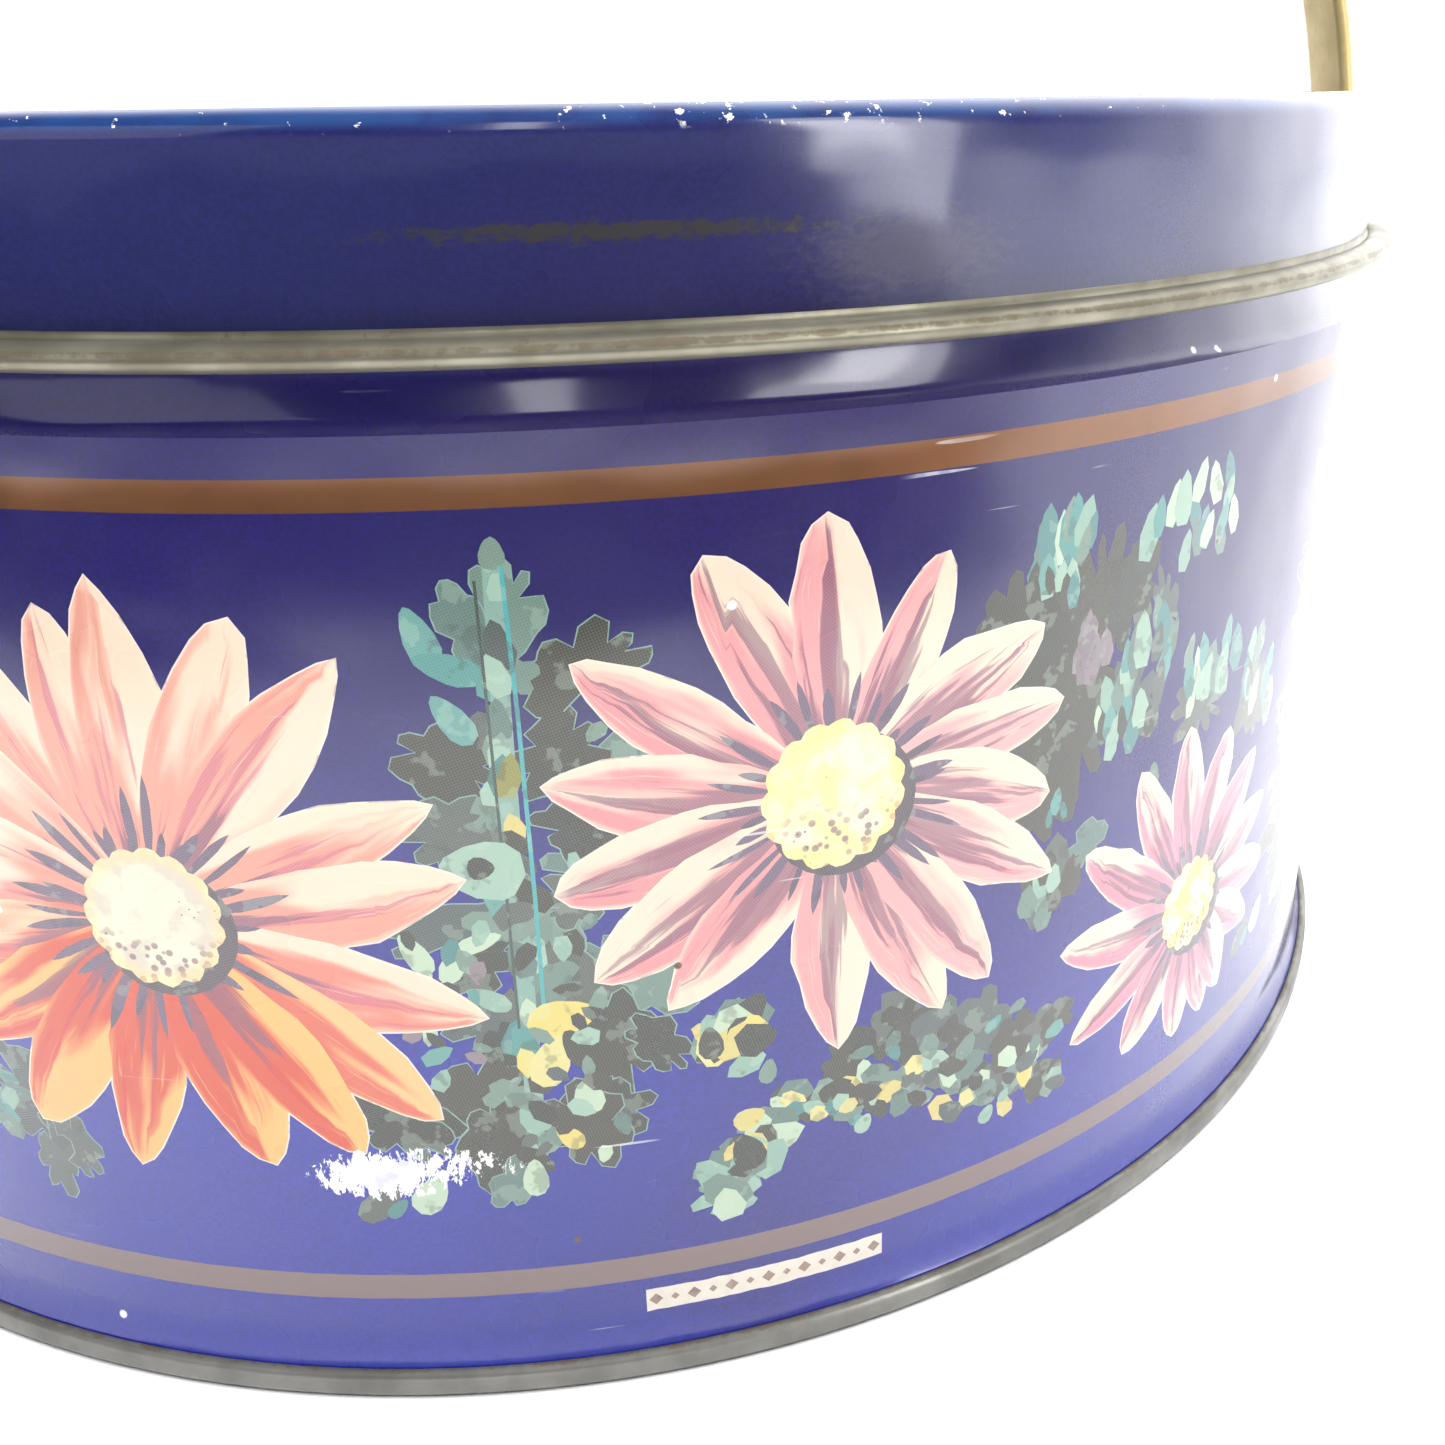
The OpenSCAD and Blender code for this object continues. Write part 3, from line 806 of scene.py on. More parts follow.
def low_clusters():
    """Small rounded leaves below the pink flower: a yellow bunch, a long dark band and a slanting tail."""
    rng = random.Random(9)
    band_line = [(21, 30), (26, 32), (33, 28.5), (40, 26.5), (46, 27)]
    low_line = [(21, 26.5), (29, 25), (35, 22), (41, 20.5), (45, 21)]
    shapes = leaves(rng, low_line, 1.8, 10, 6, ["mid", "dark", "mid", "grey"])
    shapes += leaves(rng, band_line, 1.6, 13, 7, ["dark", "dark", "grey"])
    shapes += leaves(rng, [(14.5, 24), (11.5, 21), (9, 18)], 1.2, 5, 5.4, ["mid", "mint", "mid"])
    for line, spread, count, length, tones, slim in [
            ([(8.5, 35), (13, 36)], 2.4, 6, 4.6, ["mid", "mid", "dark"], 0.75),
            ([(8.5, 34), (13.5, 33.5)], 2.4, 12, 3.2, ["yellow", "mint", "yellow", "dark"], 0.75),
            (low_line, 2.8, 22, 2.9, ["yellow", "mint", "mid", "mint", "yellow", "mid"], 0.75),
            (low_line, 3, 14, 2.6, ["dark", "grey"], 0.6),
            (band_line, 2.8, 12, 2.4, ["mid", "dark", "mid", "teal"], 0.6),
            ([(15.5, 27.5), (20, 25.5), (23, 24)], 1.6, 9, 3.6, ["dark", "mid", "dark"], 0.75),
            ([(15.5, 28), (20, 24.4), (23.4, 23.4)], 1.8, 9, 2.2, ["mint", "yellow", "teal"], 0.7),
            ([(14.4, 24.5), (11.5, 21), (8.5, 17.5)], 2.0, 14, 4.2, ["mid", "mint", "mid"], 0.75),
            ([(14, 24.5), (11.5, 20)], 2.0, 8, 2.4, ["mint", "dark", "yellow"], 0.7)]:
        shapes += dabs(rng, line, spread, count, length, tones, None, slim)
    for place, angle, length, width, tone in [
            ((9.2, 34.2), 95, 3.4, 2.2, "dark"), ((12.2, 22), 110, 4.2, 3.0, "dark"),
            ((12.4, 25.6), 20, 3, 2.2, "yellow"), ((23.2, 22), 60, 2.2, 1.6, "mint"),
            ((36.5, 18.2), 60, 2.2, 1.6, "mint"), ((14.2, 30.2), 80, 2.6, 1.6, "mid"),
            ((38.5, 19.6), 60, 1.6, 1.2, "mint")]:
        shapes.append(dab(rng, place, angle, length, width, tone, 12))
    # the small bunch below right of the flower
    shapes += lobed_leaf(rng, (46, 42), (49, 47), 5, "mid", 5)
    shapes += dabs(rng, [(40, 41), (45, 43)], 3, 9, 4.2, ["mid", "grey", "dark"], 95, 0.6)
    shapes += dabs(rng, [(39.5, 41), (44, 40)], 3.2, 7, 3.2, ["dark", "mid", "mint"], 95, 0.55)
    return shapes


def dark_bush():
    """The tall dark mass right of the pink flower, with upright mint dabs and a pale sprig above."""
    rng = random.Random(12)
    shapes = []
    for base, tip, width, tone in [
            ((38, 73), (37, 63), 6.5, "dark"), ((42, 74), (41, 58), 10, "dark"),
            ((44, 66), (46, 50), 10, "dark"), ((40, 60), (43, 46), 8.5, "dark"),
            ((48, 75), (46, 60), 7, "dark"), ((51, 74), (51, 63), 6, "dark"),
            ((36, 62), (40, 52), 6, "dark"), ((55, 70), (57, 61), 4, "grey"),
            ((62, 58), (64, 50), 8, "grey"), ((74, 56), (75, 46), 7, "grey"),
            ((53, 62), (50, 52), 8, "grey")]:
        shapes += lobed_leaf(rng, base, tip, width * 1.15, tone, 9)[1:]
    for line, spread, count, length, tones in [
            ([(38.5, 73), (42, 76), (45, 72)], 2.2, 14, 4.4, ["teal", "mint", "teal", "mid"]),
            ([(39, 71.5), (45, 70.5)], 1.0, 7, 3.2, ["dark", "teal", "dark", "mint"]),
            ([(52.6, 73), (57, 74.5), (62, 76), (66, 75.5)], 1.6, 9, 4.6, ["mint", "teal", "mint"]),
            ([(58, 70.5), (62, 71.5), (66, 72.5)], 1.4, 7, 4.0, ["mint", "mid", "teal"]),
            ([(49, 58.5), (53.5, 63)], 1.8, 9, 4.8, ["mint", "teal", "mid", "mint"]),
            ([(47.5, 57), (51, 54), (55, 56)], 1.6, 10, 3.6, ["mint", "dark", "teal", "mint"]),
            ([(56, 66), (56.5, 58)], 1.2, 6, 4.2, ["mid", "teal", "grey"]),
            ([(60, 57), (64, 58.5), (68, 56)], 3.2, 14, 4.4, ["mint", "teal", "mid", "mint"]),
            ([(72, 57), (75, 54), (77, 48)], 2.8, 14, 4.2, ["mint", "mid", "teal", "grey"]),
            ([(45, 65), (48.2, 63)], 1.4, 5, 4.6, ["mauve"]),
            ([(42, 50), (44, 48)], 1.2, 3, 2.6, ["teal"])]:
        shapes += dabs(rng, line, spread, count, length, tones, 88, 0.42)
    shapes.append(dab(rng, (56.2, 48.6), 95, 3.0, 1.7, "mid"))
    return shapes


def side_leaves():
    """Fingered leaves at the lower left of the orange flower, and dark ones between its petals."""
    rng = random.Random(15)
    shapes = []
    for base, tip, width, tone in [
            ((-55, 33), (-48, 24), 8, "grey"), ((-50, 27), (-45.5, 20), 5, "grey"),
            ((-50, 26), (-50.5, 18), 5, "grey"), ((-56, 30), (-60, 22), 6, "mid"),
            ((-27, 37), (-13, 27), 6, "dark"), ((-22, 32), (-13, 25), 5, "dark")]:
        shapes += lobed_leaf(rng, base, tip, width, tone)
    shapes += dabs(rng, [(-54, 31), (-56, 24)], 2, 5, 3.2, ["teal", "mid", "mint"])
    return shapes


def motif():
    """The shapes of one repeat of the print, from back to front."""
    rng = random.Random(7)
    shapes = [shape.moved(-5.8) for shape in sprig()] + low_clusters() + dark_bush() + side_leaves()
    shapes += [shape.moved(92) for shape in sprig()]
    shapes += [shape.moved(96) for shape in dark_bush() if max(s for s, _ in shape.outline) < 60]
    shapes += [shape.moved(88) for shape in low_clusters()]
    shapes += flower(rng, (-35.5, 48.5), 6.0, FLOWER_1, 7.6, srgb(204, 194, 176), sunset_tone)
    shapes += flower(rng, (20.5, 56.0), 6.3, FLOWER_2, 6.9, srgb(228, 214, 148), pink_tone)
    shapes += flower(rng, (64.8, 31.0), 4.9, FLOWER_3, 5.4, srgb(224, 204, 106), rose_tone)
    shapes += flower(rng, (119.0, 53.0), 5.8, FLOWER_4, 7.0, srgb(242, 226, 152), pink_tone)
    return shapes


def band(z_low, z_high):
    end = PRINT_START + REPEAT
    return Shape([(PRINT_START, z_low), (end, z_low), (end, z_high), (PRINT_START, z_high)], "gold")


def blank_label():
    """The small cream strip under the lower gold line, with a row of diamonds where words would be."""
    left, right, low, high = LABEL
    rng = random.Random(3)
    top = [(left + (right - left) * i / 24, high + rng.uniform(-0.07, 0.07)) for i in range(25)]
    foot = [(s, low + rng.uniform(-0.07, 0.07)) for s, _ in top]
    shapes = [Shape(top + foot[::-1], "label")]
    count = 13
    z = (low + high) / 2
    for i in range(count):
        s = left + (right - left) * (i + 0.5) / count
        half = 0.4 if i % 2 else 0.65
        diamond = [(s - half, z), (s, z - half), (s + half, z), (s, z + half)]
        shapes.append(Shape(diamond, "ink", srgb(150, 120, 104)))
    return shapes


# ---------------------------------------------------------------- round meshes
class Shell:
    """A mesh in the making. Faces carry a paint, and each corner a normal and its places in the print."""

    def __init__(self, paints):
        self.paints = paints
        self.points, self.index = [], {}
        self.faces, self.slots, self.normals, self.flat, self.local, self.tones = [], [], [], [], [], []

    def vertex(self, key, point):
        if key not in self.index:
            self.index[key] = len(self.points)
            self.points.append(point)
        return self.index[key]

    def face(self, corners, paint, normals, flat, local=None, tone=(0, 0, 0, 0)):
        kept = [k for k in range(len(corners)) if corners[k] not in corners[:k]]
        if len(kept) < 3:
            return
        self.faces.append([corners[k] for k in kept])
        self.slots.append(self.paints.index(paint))
        for k in kept:
            self.normals.append(normals[k])
            self.flat += flat[k]
            self.local += local[k] if local else (0.0, 0.0)
            self.tones += tone

    def print_face(self, corners, shape, normals, flat):
        """A face of the printed shape on top there, or of plain enamel where shape is None."""
        if shape:
            self.face(corners, shape.paint, normals, flat, [shape.local(*c) for c in flat], shape.tone)
        else:
            self.face(corners, "enamel", normals, flat)

    def build(self, name, materials):
        mesh = bpy.data.meshes.new(name)
        mesh.from_pydata([tuple(c * MM for c in p) for p in self.points], [], self.faces)
        for paint in self.paints:
            mesh.materials.append(materials[paint])
        mesh.polygons.foreach_set("material_index", self.slots)
        mesh.polygons.foreach_set("use_smooth", [True] * len(self.faces))
        mesh.uv_layers.new(name="flat").data.foreach_set("uv", [c * MM for c in self.flat])
        mesh.uv_layers.new(name="local").data.foreach_set("uv", self.local)
        tone = mesh.color_attributes.new(name="tone", type="FLOAT_COLOR", domain="CORNER")
        tone.data.foreach_set("color", self.tones)
        mesh.normals_split_custom_set(self.normals)
        return link_object(name, mesh)


def round_tin(r, s, z):
    """The point at radius r, at print distance s round the wall, and height z."""
    a = s / WALL_R
    return (r * math.sin(a), -r * math.cos(a), z)


def whole_turn(s):
    """The print distance as part of a vertex key: rounded, and the same after a full turn."""
    return round(s % ROUND, 3) % ROUND


def outward(s, tilt=0.0):
    """The unit normal at print distance s. tilt is its angle above the horizontal."""
    a = s / WALL_R
    return (math.sin(a) * math.cos(tilt), -math.cos(a) * math.cos(tilt), math.sin(tilt))


def column_places():
    """Print distances of the wall's mesh columns, all the way round, with extra ones beside the lock seam."""
    places = [PRINT_START + REPEAT * i / COLUMNS for i in range(COLUMNS * REPEATS)]
    places += [SEAM_S + d for d in (-2.3, -1.9, -1.5, -1.1, 1.5, 1.9)]
    return sorted(places)


def triangulate(outlines, lines, loose):
    """Constrained triangles of overlapping outlines, each with the numbers of the outlines that hold it."""
    points, faces, edges = [], [], []
    for outline in outlines:
        faces.append(list(range(len(points), len(points) + len(outline))))
        points += [Vector(p) for p in (outline if signed_area(outline) > 0 else outline[::-1])]
    for line in lines:
        edges += [(len(points) + i, len(points) + i + 1) for i in range(len(line) - 1)]
        points += [Vector(p) for p in line]
    points += [Vector(p) for p in loose]
    made, _, triangles, _, _, holders = delaunay_2d_cdt(points, edges, faces, 0, WELD, True)
    return made, triangles, holders


def seam_dip(s):
    """How far the wall's surface drops in the groove beside the lock seam."""
    return 0.3 if -2.1 < s - SEAM_S < -1.3 else 0.0


def swage(z):
    """The wall swells towards the crease and the seam: extra radius and tilt of the surface at a height."""
    if z < FLARE_Z:
        share = min((FLARE_Z - z) / (FLARE_Z - RING_H), 1.0)
        return FLARE * share * share, math.atan(2 * FLARE * share / (FLARE_Z - RING_H))
    share = min(max((z - GOLD_TOP[0]) / (CREASE_Z - GOLD_TOP[0]), 0.0), 1.0)
    return SWELL * share * share, -math.radians(6.5) * min(share * 2, 1.0)


def printed_sheet(shell, columns, shapes, start, z_low, z_high):
    """One repeat of the printed wall, triangulated along the edges of its shapes."""
    end = start + REPEAT
    inside = sorted(set(round(c, 6) for c in columns + [end] if start - 1e-3 < c < end + 1e-3))
    heights = [z_low + (z_high - z_low) * i / 4 for i in range(5)]
    heights += [RING_H + (FLARE_Z - RING_H) * i / 5 for i in range(6)]
    lines = [[(c, z_low), (c, z_high)] for c in inside] + [[(c, z) for c in inside] for z in heights]
    loose = [p for shape in shapes for p in shape.inside]
    points, triangles, holders = triangulate([shape.outline for shape in shapes], lines, loose)
    spots = []
    for p in points:
        right = bisect(inside, p.x - 1e-3)
        s = inside[right] if right < len(inside) and abs(inside[right] - p.x) < 1e-3 else p.x
        z = z_low if abs(p.y - z_low) < 1e-3 else z_high if abs(p.y - z_high) < 1e-3 else p.y
        spots.append((s, z))
    for triangle, holder in zip(triangles, holders):
        corners = [spots[i] for i in triangle]
        s = sum(c[0] for c in corners) / 3
        z = sum(c[1] for c in corners) / 3
        if not (start < s < end and z_low < z < z_high):
            continue
        shape = shapes[max(holder)] if holder else None
        ids = [shell.vertex(("wall", whole_turn(s), round(z, 3)),
                            round_tin(WALL_R - seam_dip(s) + swage(z)[0], s, z)) for s, z in corners]
        shell.print_face(ids, shape, [outward(s, swage(z)[1]) for s, z in corners], corners)


def profile_rows(points, sharp=(), keys=None):
    """Rows for ring_rows from a line of (radius, height). A sharp point keeps each side's own tilt."""
    def tilt(a, b):
        return math.atan2(-(b[0] - a[0]), b[1] - a[1])

    rows = []
    for i, (r, z) in enumerate(points):
        before = tilt(points[i - 1], points[i]) if i else tilt(points[0], points[1])
        after = tilt(points[i], points[i + 1]) if i + 1 < len(points) else before
        if i not in sharp:
            before = after = before + ((after - before + math.pi) % TAU - math.pi) / 2
        rows.append((keys[i] if keys else i, r, z, before, after))
    return rows


def ring_rows(shell, columns, rows, paint_of, name):
    """Bands of faces between rows of (key, radius, height, lower tilt, upper tilt), round the whole tin.
    paint_of gives a band's paint from the key of its second row."""
    def corner(row, s):
        if row[1] < 0.01:
            return shell.vertex((name, "pole", row[0]), round_tin(row[1], s, row[2]))
        line = row[0] if row[0] == "wall" else name + str(row[0])
        return shell.vertex((line, whole_turn(s), round(row[2], 3)), round_tin(row[1], s, row[2]))

    run = 0.0
    ends = columns[1:] + [columns[0] + ROUND]
    for low, high in zip(rows, rows[1:]):
        next_run = run + math.dist(low[1:3], high[1:3])
        for s0, s1 in zip(columns, ends):
            ids = [corner(low, s0), corner(low, s1), corner(high, s1), corner(high, s0)]
            normals = [outward(s0, low[4]), outward(s1, low[4]), outward(s1, high[3]), outward(s0, high[3])]
            flat = [(s0, low[2]), (s1, low[2]), (s1, high[2]), (s0, high[2])]
            local = [(s0, run), (s1, run), (s1, next_run), (s0, next_run)]
            shell.face(ids, paint_of(high[0]), normals, flat, local)
        run = next_run


def arc_points(cr, cz, r, start, end, steps):
    """Points of an arc in a (radius, height) profile, between two angles in degrees."""
    angles = [math.radians(start + (end - start) * i / steps) for i in range(steps + 1)]
    return [(cr + r * math.cos(a), cz + r * math.sin(a)) for a in angles]


def shoulder_r(t):
    """Radius of the shoulder at height share t, from the crease to the neck."""
    return WALL_R - (WALL_R - NECK_R) * (1 - (1 - t) ** 2)


def dress(piece, node, body):
    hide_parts(node)
    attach(piece, body)


def make_wall(materials):
    """The rolled wall: printed sheet, shoulder, neck with its rolled rim, and the plain inside."""
    shell = Shell(["enamel", "petal", "ink", "disc", "gold", "label", "inside"])
    columns = column_places()
    shapes = [band(*GOLD_TOP), band(*GOLD_FOOT)] + motif()
    for k in range(REPEATS):
        here = [shape.moved(k * REPEAT) for shape in shapes]
        if k == 0:
            here += blank_label()
        printed_sheet(shell, columns, here, PRINT_START + k * REPEAT, FOOT_Z, CREASE_Z)
    shoulder = [(shoulder_r(i / 10), CREASE_Z + SHOULDER_RISE * i / 10) for i in range(11)]
    shoulder[0] = (WALL_R + swage(CREASE_Z)[0], CREASE_Z)
    curl = arc_points(NECK_R - NECK_CURL, NECK_Z - NECK_CURL, NECK_CURL, 0, 320, 20)
    neck_in = NECK_R - SHEET
    inner = [(neck_in, NECK_Z - 3), (neck_in, CREASE_Z + SHOULDER_RISE)]
    inner += [(r - SHEET, z) for r, z in shoulder[-2::-1]]
    inner += [(WALL_R - SHEET, GOLD_TOP[0]), (WALL_R - SHEET, FOOT_Z), (WALL_R + FLARE, FOOT_Z)]
    profile = shoulder + curl + inner
    keys = ["wall"] + list(range(1, len(profile) - 1)) + ["wall"]
    rows = profile_rows(profile, sharp=(0, len(profile) - 2), keys=keys)
    printed = set(range(len(shoulder)))
    ring_rows(shell, columns, rows, lambda key: "enamel" if key in printed else "inside", "neck")
    dress(shell.build("printed_wall", materials), "body_wall", "tin")


def lid_panel_shapes():
    """A bunch of flowers and leaves inside a gold ring, in millimetres from the middle of the lid."""
    rng = random.Random(21)
    edge = LID_R - LID_CORNER - RIM_W - 9
    shapes = []
    turns = [TAU * i / 120 for i in range(120)]
    for r, paint in ((edge, "gold"), (edge - 2.4, "enamel")):
        shapes.append(Shape([(r * math.cos(a), r * math.sin(a)) for a in turns], paint))
    for a in range(0, 360, 60):
        c, s = math.cos(math.radians(a)), math.sin(math.radians(a))
        for far, turn, tone in ((24, 0, "dark"), (34, 10, "mid"), (34, -10, "dark"), (44, 2, "grey")):
            x, y = far * c - turn * s, far * s + turn * c
            tip = (x + 18 * c - turn * s / 2, y + 18 * s + turn * c / 2)
            shapes += lobed_leaf(rng, (x, y), tip, 13, tone, 9)
        shapes += dabs(rng, [(26 * c, 26 * s), (62 * c, 62 * s)], 12, 30, 4.4,
                       ["mint", "teal", "yellow", "mid", "dark"], a)
    shapes += flower(rng, (-24, 10), 6.4, FLOWER_1, 8.0, srgb(242, 232, 214), sunset_tone)
    shapes += flower(rng, (26, 16), 6.4, FLOWER_2, 7.8, srgb(244, 228, 150), pink_tone)
    shapes += flower(rng, (2, -30), 5.6, FLOWER_3, 6.4, srgb(240, 220, 124), rose_tone)
    return shapes


def make_lid(materials):
    """The lid: printed panel, raised rim, wall, rolled bead and plain inside."""
    shell = Shell(["enamel", "petal", "ink", "disc", "gold", "bead", "inside"])
    columns = [ROUND * (i / 192 - 0.5) for i in range(192)]
    rim_in = LID_R - LID_CORNER - RIM_W
    panel_r = rim_in - PANEL_DROP
    edge_r = panel_r - 0.6
    panel_z = LID_TOP - PANEL_DROP
    mid_r = LID_IN + BEAD_HALF_W
    meet = math.degrees(math.acos((LID_R - mid_r) / BEAD_HALF_W))
    soft = 0.35
    under = [(0.0, panel_z - SHEET), (panel_r, panel_z - SHEET), (rim_in, LID_TOP - SHEET)]
    under += arc_points(LID_R - LID_CORNER, LID_TOP - LID_CORNER, LID_CORNER - SHEET, 90, 0, 8)
    bead = []
    for i in range(29):
        a = math.radians(180 + (meet + 180) * i / 28)
        bead.append((mid_r + BEAD_HALF_W * math.cos(a), BEAD_Z + BEAD_HALF_H * math.sin(a)))
    side = [(LID_R, BEAD_Z + 1.6 + (LID_TOP - LID_CORNER - BEAD_Z - 1.6) * i / 4) for i in range(4)]
    corner = arc_points(LID_R - LID_CORNER, LID_TOP - LID_CORNER, LID_CORNER, 0, 90, 12)
    top = [(rim_in + 0.6, LID_TOP), (rim_in, LID_TOP - 0.08), (rim_in - soft, LID_TOP - soft),
           (panel_r + soft, panel_z + soft), (panel_r, panel_z + 0.08), (edge_r, panel_z)]
    profile = under + bead + side + corner + top
    bead_from, bead_to = len(under), len(under) + len(bead)

    def paint(key):
        if key <= bead_from:
            return "inside"
        return "bead" if key <= bead_to else "enamel"

    ring_rows(shell, columns, profile_rows(profile), paint, "lid")
    ring = [(edge_r * math.sin(s / WALL_R), -edge_r * math.cos(s / WALL_R)) for s in columns]
    shapes = lid_panel_shapes()
    loose = [p for shape in shapes for p in shape.inside]
    loose += [(12 * i, 12 * j) for i in range(-8, 9) for j in range(-8, 9) if math.hypot(i, j) < 8]
    points, triangles, holders = triangulate([shape.outline for shape in shapes], [ring + ring[:1]], loose)
    rim_key = "lid" + str(len(profile) - 1)
    for triangle, holder in zip(triangles, holders):
        corners = [(points[i].x, points[i].y) for i in triangle]
        if math.hypot(sum(c[0] for c in corners) / 3, sum(c[1] for c in corners) / 3) > edge_r:
            continue
        shape = shapes[max(holder)] if holder else None
        ids = []
        for x, y in corners:
            key = ("panel", round(x, 3), round(y, 3))
            if math.hypot(x, y) > edge_r - 0.01:
                column = round((math.atan2(x, -y) / TAU + 0.5) * len(columns)) % len(columns)
                key = (rim_key, whole_turn(columns[column]), round(panel_z, 3))
            ids.append(shell.vertex(key, (x, y, panel_z)))
        shell.print_face(ids, shape, [(0, 0, 1)] * 3, corners)
    dress(shell.build("printed_lid", materials), "lid_shell", "lid")


def make_base(materials):
    """The base: the rolled double seam, the sunk panel and its stiffening ring."""
    shell = Shell(["seam", "inside"])
    columns = [ROUND * i / 192 for i in range(192)]
    low_r, top_r, seam_in = 0.9, 0.8, WALL_R - SHEET - 0.4
    wall_in = WALL_R - SHEET - 0.05
    bead_at, bead_r = 92.0, 1.2
    outer = arc_points(RING_R - low_r, low_r, low_r, -90, 0, 6)
    outer += arc_points(RING_R - top_r, RING_H - top_r, top_r, 0, 90, 6)
    wall_out = WALL_R + FLARE + 0.05
    groove = [(wall_out, RING_H - 0.15), (wall_out, FOOT_Z), (wall_in, FOOT_Z)]
    top = [(wall_in, PANEL_Z + SHEET - 0.2), (wall_in - 0.25, PANEL_Z + SHEET)]
    top += arc_points(bead_at, PANEL_Z + SHEET, bead_r, 0, 180, 10) + [(0.0, PANEL_Z + SHEET)]
    under = [(0.0, PANEL_Z)] + arc_points(bead_at, PANEL_Z, bead_r - SHEET, 180, 0, 10)
    under += [(seam_in - 0.5, PANEL_Z), (seam_in, PANEL_Z - 0.4)]
    under += arc_points(seam_in + low_r, low_r, low_r, 180, 270, 6)
    upper = outer + groove + top
    keys = list(range(len(upper + under))) + [0]
    rows = profile_rows(upper, sharp=(len(outer), len(outer) + 1, len(outer) + 2), keys=keys)
    ring_rows(shell, columns, rows, lambda key: "seam" if key < len(outer) + 3 else "inside", "base")
    rows = profile_rows(under + outer[:1], keys=keys[len(upper):])
    ring_rows(shell, columns, rows, lambda key: "seam", "base")
    dress(shell.build("seamed_base", materials), "base_plate", "tin")


# ---------------------------------------------------------------- bail and fittings
class Solid:
    """Closed parts gathered into one mesh, in millimetres."""

    def __init__(self):
        self.points, self.faces = [], []

    def tube(self, rings):
        """A skin over rings with equal numbers of points, closed at both ends."""
        first = len(self.points)
        count = len(rings[0])
        for ring in rings:
            self.points += [tuple(p) for p in ring]
        for i in range(len(rings) - 1):
            for j in range(count):
                a, b = first + i * count + j, first + i * count + (j + 1) % count
                self.faces.append((a, b, b + count, a + count))
        self.faces.append(tuple(first + j for j in reversed(range(count))))
        self.faces.append(tuple(first + (len(rings) - 1) * count + j for j in range(count)))

    def turned(self, profile, place, axis, steps=48):
        """A turned part: profile is a line of (distance along the axis, radius)."""
        axis = Vector(axis).normalized()
        one = Vector((0, 0, 1)).cross(axis).normalized()
        two = axis.cross(one)
        rings = []
        for along, r in profile:
            middle = Vector(place) + axis * along
            far = max(r, 0.01)
            turns = [TAU * j / steps for j in range(steps)]
            rings.append([middle + (one * math.cos(a) + two * math.sin(a)) * far for a in turns])
        self.tube(rings)

    def build(self, name, material, crease=38):
        mesh = bpy.data.meshes.new(name)
        mesh.from_pydata([tuple(c * MM for c in p) for p in self.points], [], self.faces)
        mesh.materials.append(material)
        mesh.polygons.foreach_set("use_smooth", [True] * len(self.faces))
        mesh.set_sharp_from_angle(angle=math.radians(crease))
        return link_object(name, mesh)


def bail_section():
    """The strip's section as (out from the inner face, across): a thin web between two rolled edges."""
    middle = BAIL_W / 2 - EDGE_R
    dip = math.degrees(math.acos(1 - WEB / EDGE_R))
    angles = [math.radians(180 - (180 + dip) * i / 14) for i in range(15)]
    near = [(EDGE_R + EDGE_R * math.cos(a), middle + EDGE_R * math.sin(a)) for a in angles]
    return near + [(out, -across) for out, across in reversed(near)]


def make_bail(material):
    """The bail: an arch of rolled strip, bent in at each foot to a flat eye that turns on its pivot."""
    solid = Solid()
    section = bail_section()
    inner = ARC_R - EDGE_R
    strap_top = ARC_Z - 1.0
    path = [(0.0, strap_top - ARC_Z)] + [(a * 2.0, 0.0) for a in range(91)] + [(180.0, strap_top - ARC_Z)]
    rings = []
    for angle, drop in path:
        c, s = math.cos(math.radians(angle)), math.sin(math.radians(angle))
        rings.append([((inner + out) * c, across, ARC_Z + drop + (inner + out) * s)
                      for out, across in section])
    solid.tube(rings)
    for side in (1, -1):
        foot_rings = []
        for i in range(9):
            t = i / 8
            z = strap_top + 0.4 - (strap_top + 0.4 - (PIVOT_Z + 3.6)) * t
            x = inner + (EYE_X - inner) * (3 * t * t - 2 * t ** 3)
            half = BAIL_W / 2 - 0.25 * math.sin(math.pi * t) + 0.1 * t
            foot_rings.append([(side * (x + dx), side * y, z) for dx, y in (
                (0, half - 0.2), (0.2, half), (EAR_T - 0.2, half), (EAR_T, half - 0.2), (EAR_T, 0.2 - half),
                (EAR_T - 0.2, -half), (0.2, -half), (0, 0.2 - half))])
        solid.tube(foot_rings)
        eye = [(0.0, 1.6), (0.0, EYE_R - 0.2), (0.2, EYE_R)]
        eye += [(EAR_T - along, r) for along, r in reversed(eye)]
        solid.turned(eye, (side * EYE_X, 0, PIVOT_Z), (side, 0, 0))
    dress(solid.build("gold_bail", material), "bail_handle", "bail")


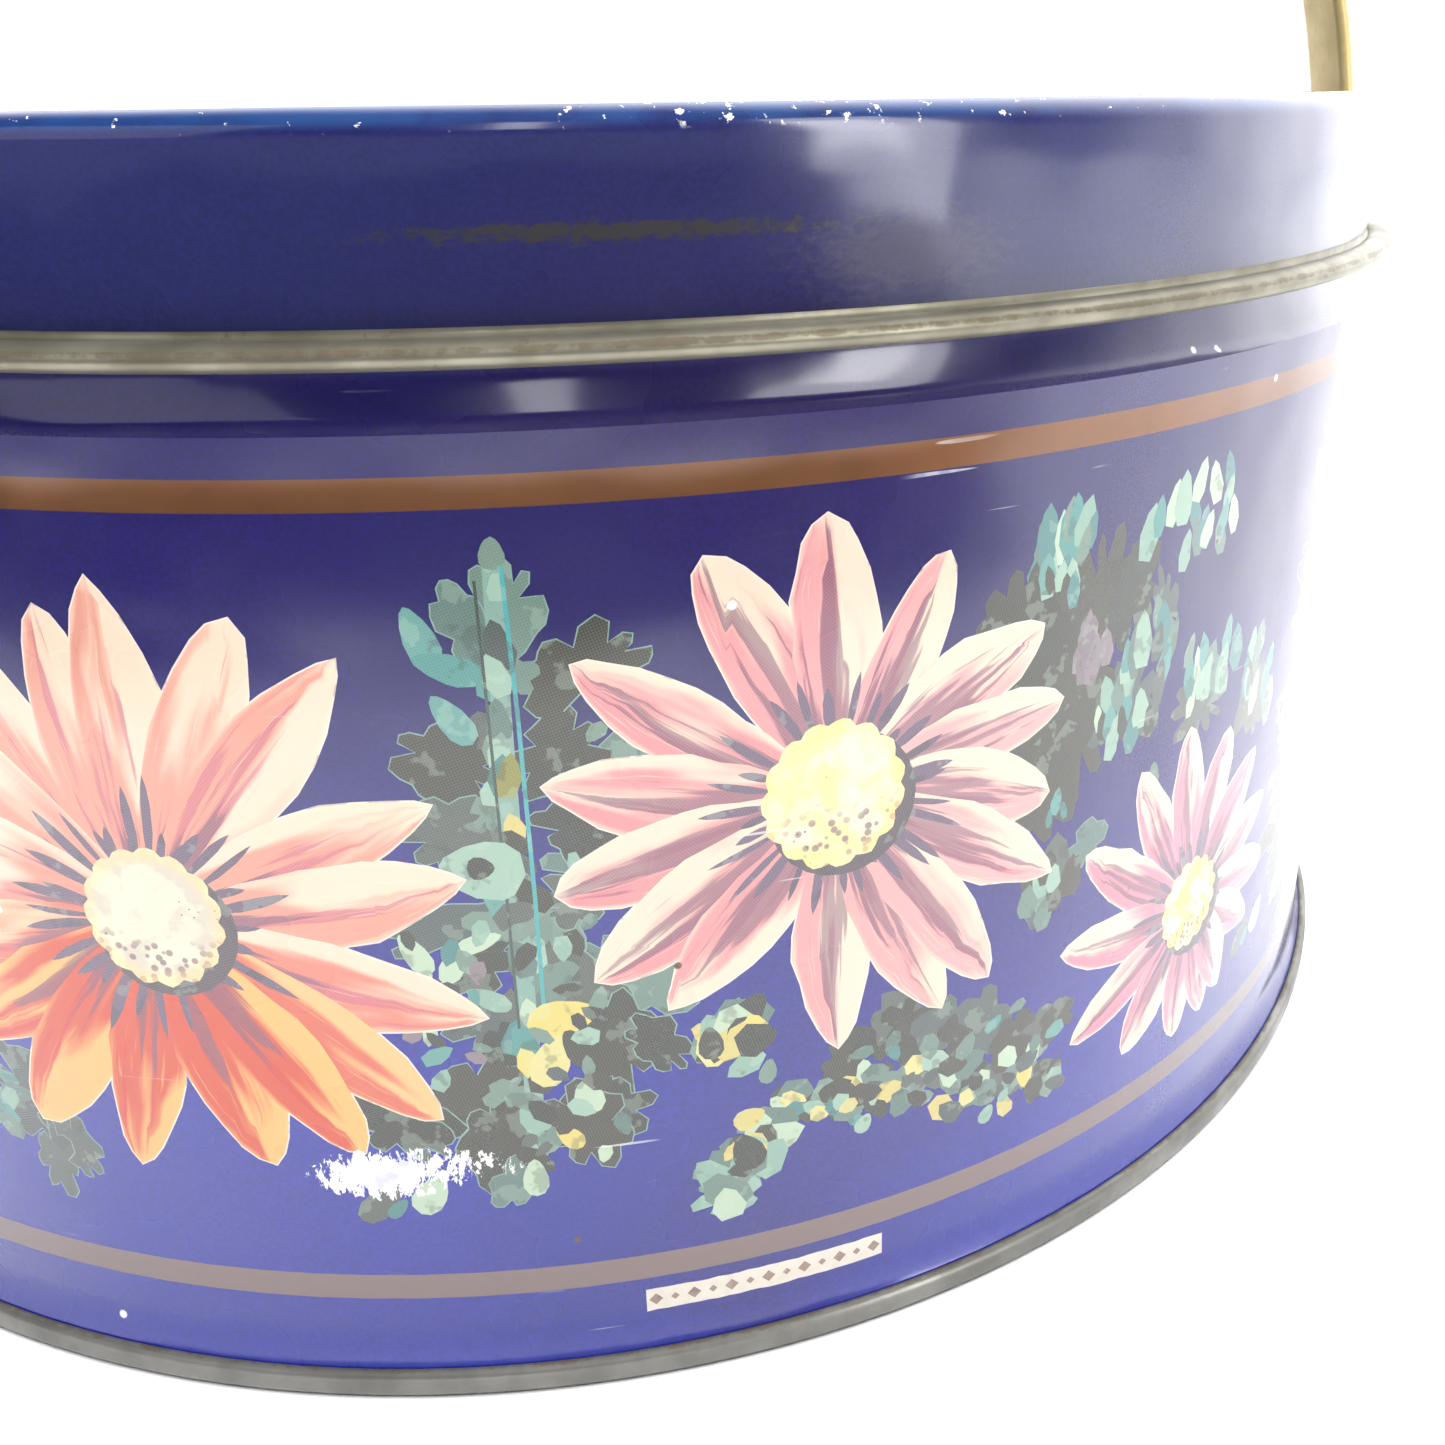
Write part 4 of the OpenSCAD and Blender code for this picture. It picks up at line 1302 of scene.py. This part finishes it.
def make_bracket(side, name, node, material):
    """A hat-shaped bracket: a raised bridge, two ramps and two flanges that follow the wall."""
    solid = Solid()
    line = []
    for i in range(5):
        a = math.radians(9.0 - 3.6 * i / 4)
        line.append((FLANGE_R * math.cos(a), FLANGE_R * math.sin(a)))
    line += [(BRIDGE_X - back, y) for back, y in ((3.9, 9.3), (0.7, 6.6), (0.25, 6.15), (0, 5.6), (0, 3))]
    line += [(x, -y) for x, y in reversed(line)]
    edge = 0.25
    section = [(0, EAR_LOW + edge), (edge, EAR_LOW), (EAR_T - edge, EAR_LOW), (EAR_T, EAR_LOW + edge)]
    section += [(depth, EAR_LOW + EAR_HIGH - z) for depth, z in reversed(section)]
    rings = []
    for i, (x, y) in enumerate(line):
        a, b = line[max(i - 1, 0)], line[min(i + 1, len(line) - 1)]
        long = math.dist(a, b)
        nx, ny = -(b[1] - a[1]) / long, (b[0] - a[0]) / long
        rings.append([(side * (x + nx * depth), side * (y + ny * depth), z) for depth, z in section])
    solid.tube(rings)
    dress(solid.build(name, material), node, "tin")


def dome(r, h, foot):
    """Profile of a rivet head that stands on foot."""
    angles = [math.radians(10 * i) for i in range(1, 10)]
    low = 0.15 * h
    return [(foot, r * 0.98), (foot + low, r)] + [(foot + low + (h - low) * math.sin(a), r * math.cos(a))
                                                  for a in angles]


def make_rivets(side, place, material):
    """The pivot rivet of one side, and the two small rivets of its bracket."""
    pivot = Solid()
    shank = [(BRIDGE_X - 1, 2.2), (BRIDGE_X - 0.8, 2.4), (BRIDGE_X, 2.4), (BRIDGE_X, 1.5)]
    shank.append((PIVOT_HEAD_X, 1.5))
    pivot.turned(shank + dome(3.2, 1.3, PIVOT_HEAD_X), (0, 0, PIVOT_Z), (side, 0, 0))
    dress(pivot.build("pivot_" + place, material), "pivot_rivet_" + place, "tin")
    small = Solid()
    foot = FLANGE_R + EAR_T
    inside = WALL_R - SHEET - 0.05
    shank = [(inside - 0.65, 1.7), (inside - 0.5, 1.9), (inside, 1.9), (inside, 1.1), (foot, 1.1)]
    for angle in (-RIVET_AT, RIVET_AT):
        a = math.radians(angle)
        way = (side * math.cos(a), side * math.sin(a), 0)
        small.turned(shank + dome(2.1, 0.9, foot), (0, 0, PIVOT_Z), way, 32)
    dress(small.build("rivets_" + place, material), "bracket_rivets_" + place, "tin")


# ---------------------------------------------------------------- scene
bpy.context.scene.view_settings.view_transform = "Standard"
add_camera()
add_world()
add_floor()
add_flag()
add_area("top_softbox", 0, 78, (1.4, 1.4), 48, shown=False)
add_area("window", 38, 20, (0.4, 1.3), 8, lights=False)
add_area("window_pane", 36, 17, (0.22, 0.9), 3, lights=False)
add_area("small_window", -3, 36, (0.14, 0.6), 1.4, lights=False)
add_area("left_wall", -50, 30, (0.7, 0.9), 1.8, lights=False)

MATERIALS = {
    "enamel": enamel_material("navy_enamel", wall_wear, srgb(27, 18, 94)),
    "ink": ink_material(),
    "petal": petal_material(),
    "disc": disc_material(),
    "gold": gold_line_material(),
    "label": label_material(),
    "inside": metal_material("tin_inside", srgb(176, 172, 160), srgb(140, 136, 124), srgb(120, 96, 66)),
    "bead": metal_material("lid_bead", srgb(152, 148, 130), srgb(120, 116, 98), srgb(92, 78, 58),
                           0.6, 0.62, grime=BEAD_Z + 0.4),
    "seam": metal_material("base_seam", srgb(138, 137, 130), srgb(112, 111, 104), srgb(88, 76, 56),
                           0.55, 0.68, grime=RING_H + 0.15),
}
LACQUER = metal_material("gold_lacquer", srgb(222, 199, 136), srgb(200, 178, 116), srgb(136, 120, 90),
                         0.3, 0.62, 0.34)
RIVET = metal_material("rivet_steel", srgb(150, 142, 122), srgb(116, 108, 90), srgb(86, 68, 46), 0.85)

make_wall(MATERIALS)
make_lid({**MATERIALS, "enamel": enamel_material("lid_enamel", lid_wear, srgb(29, 33, 92), True)})
make_base(MATERIALS)
make_bail(LACQUER)
for side, place in ((1, "right"), (-1, "left")):
    make_bracket(side, "bracket_" + place, "ear_bracket_" + place, LACQUER)
    make_rivets(side, place, RIVET)
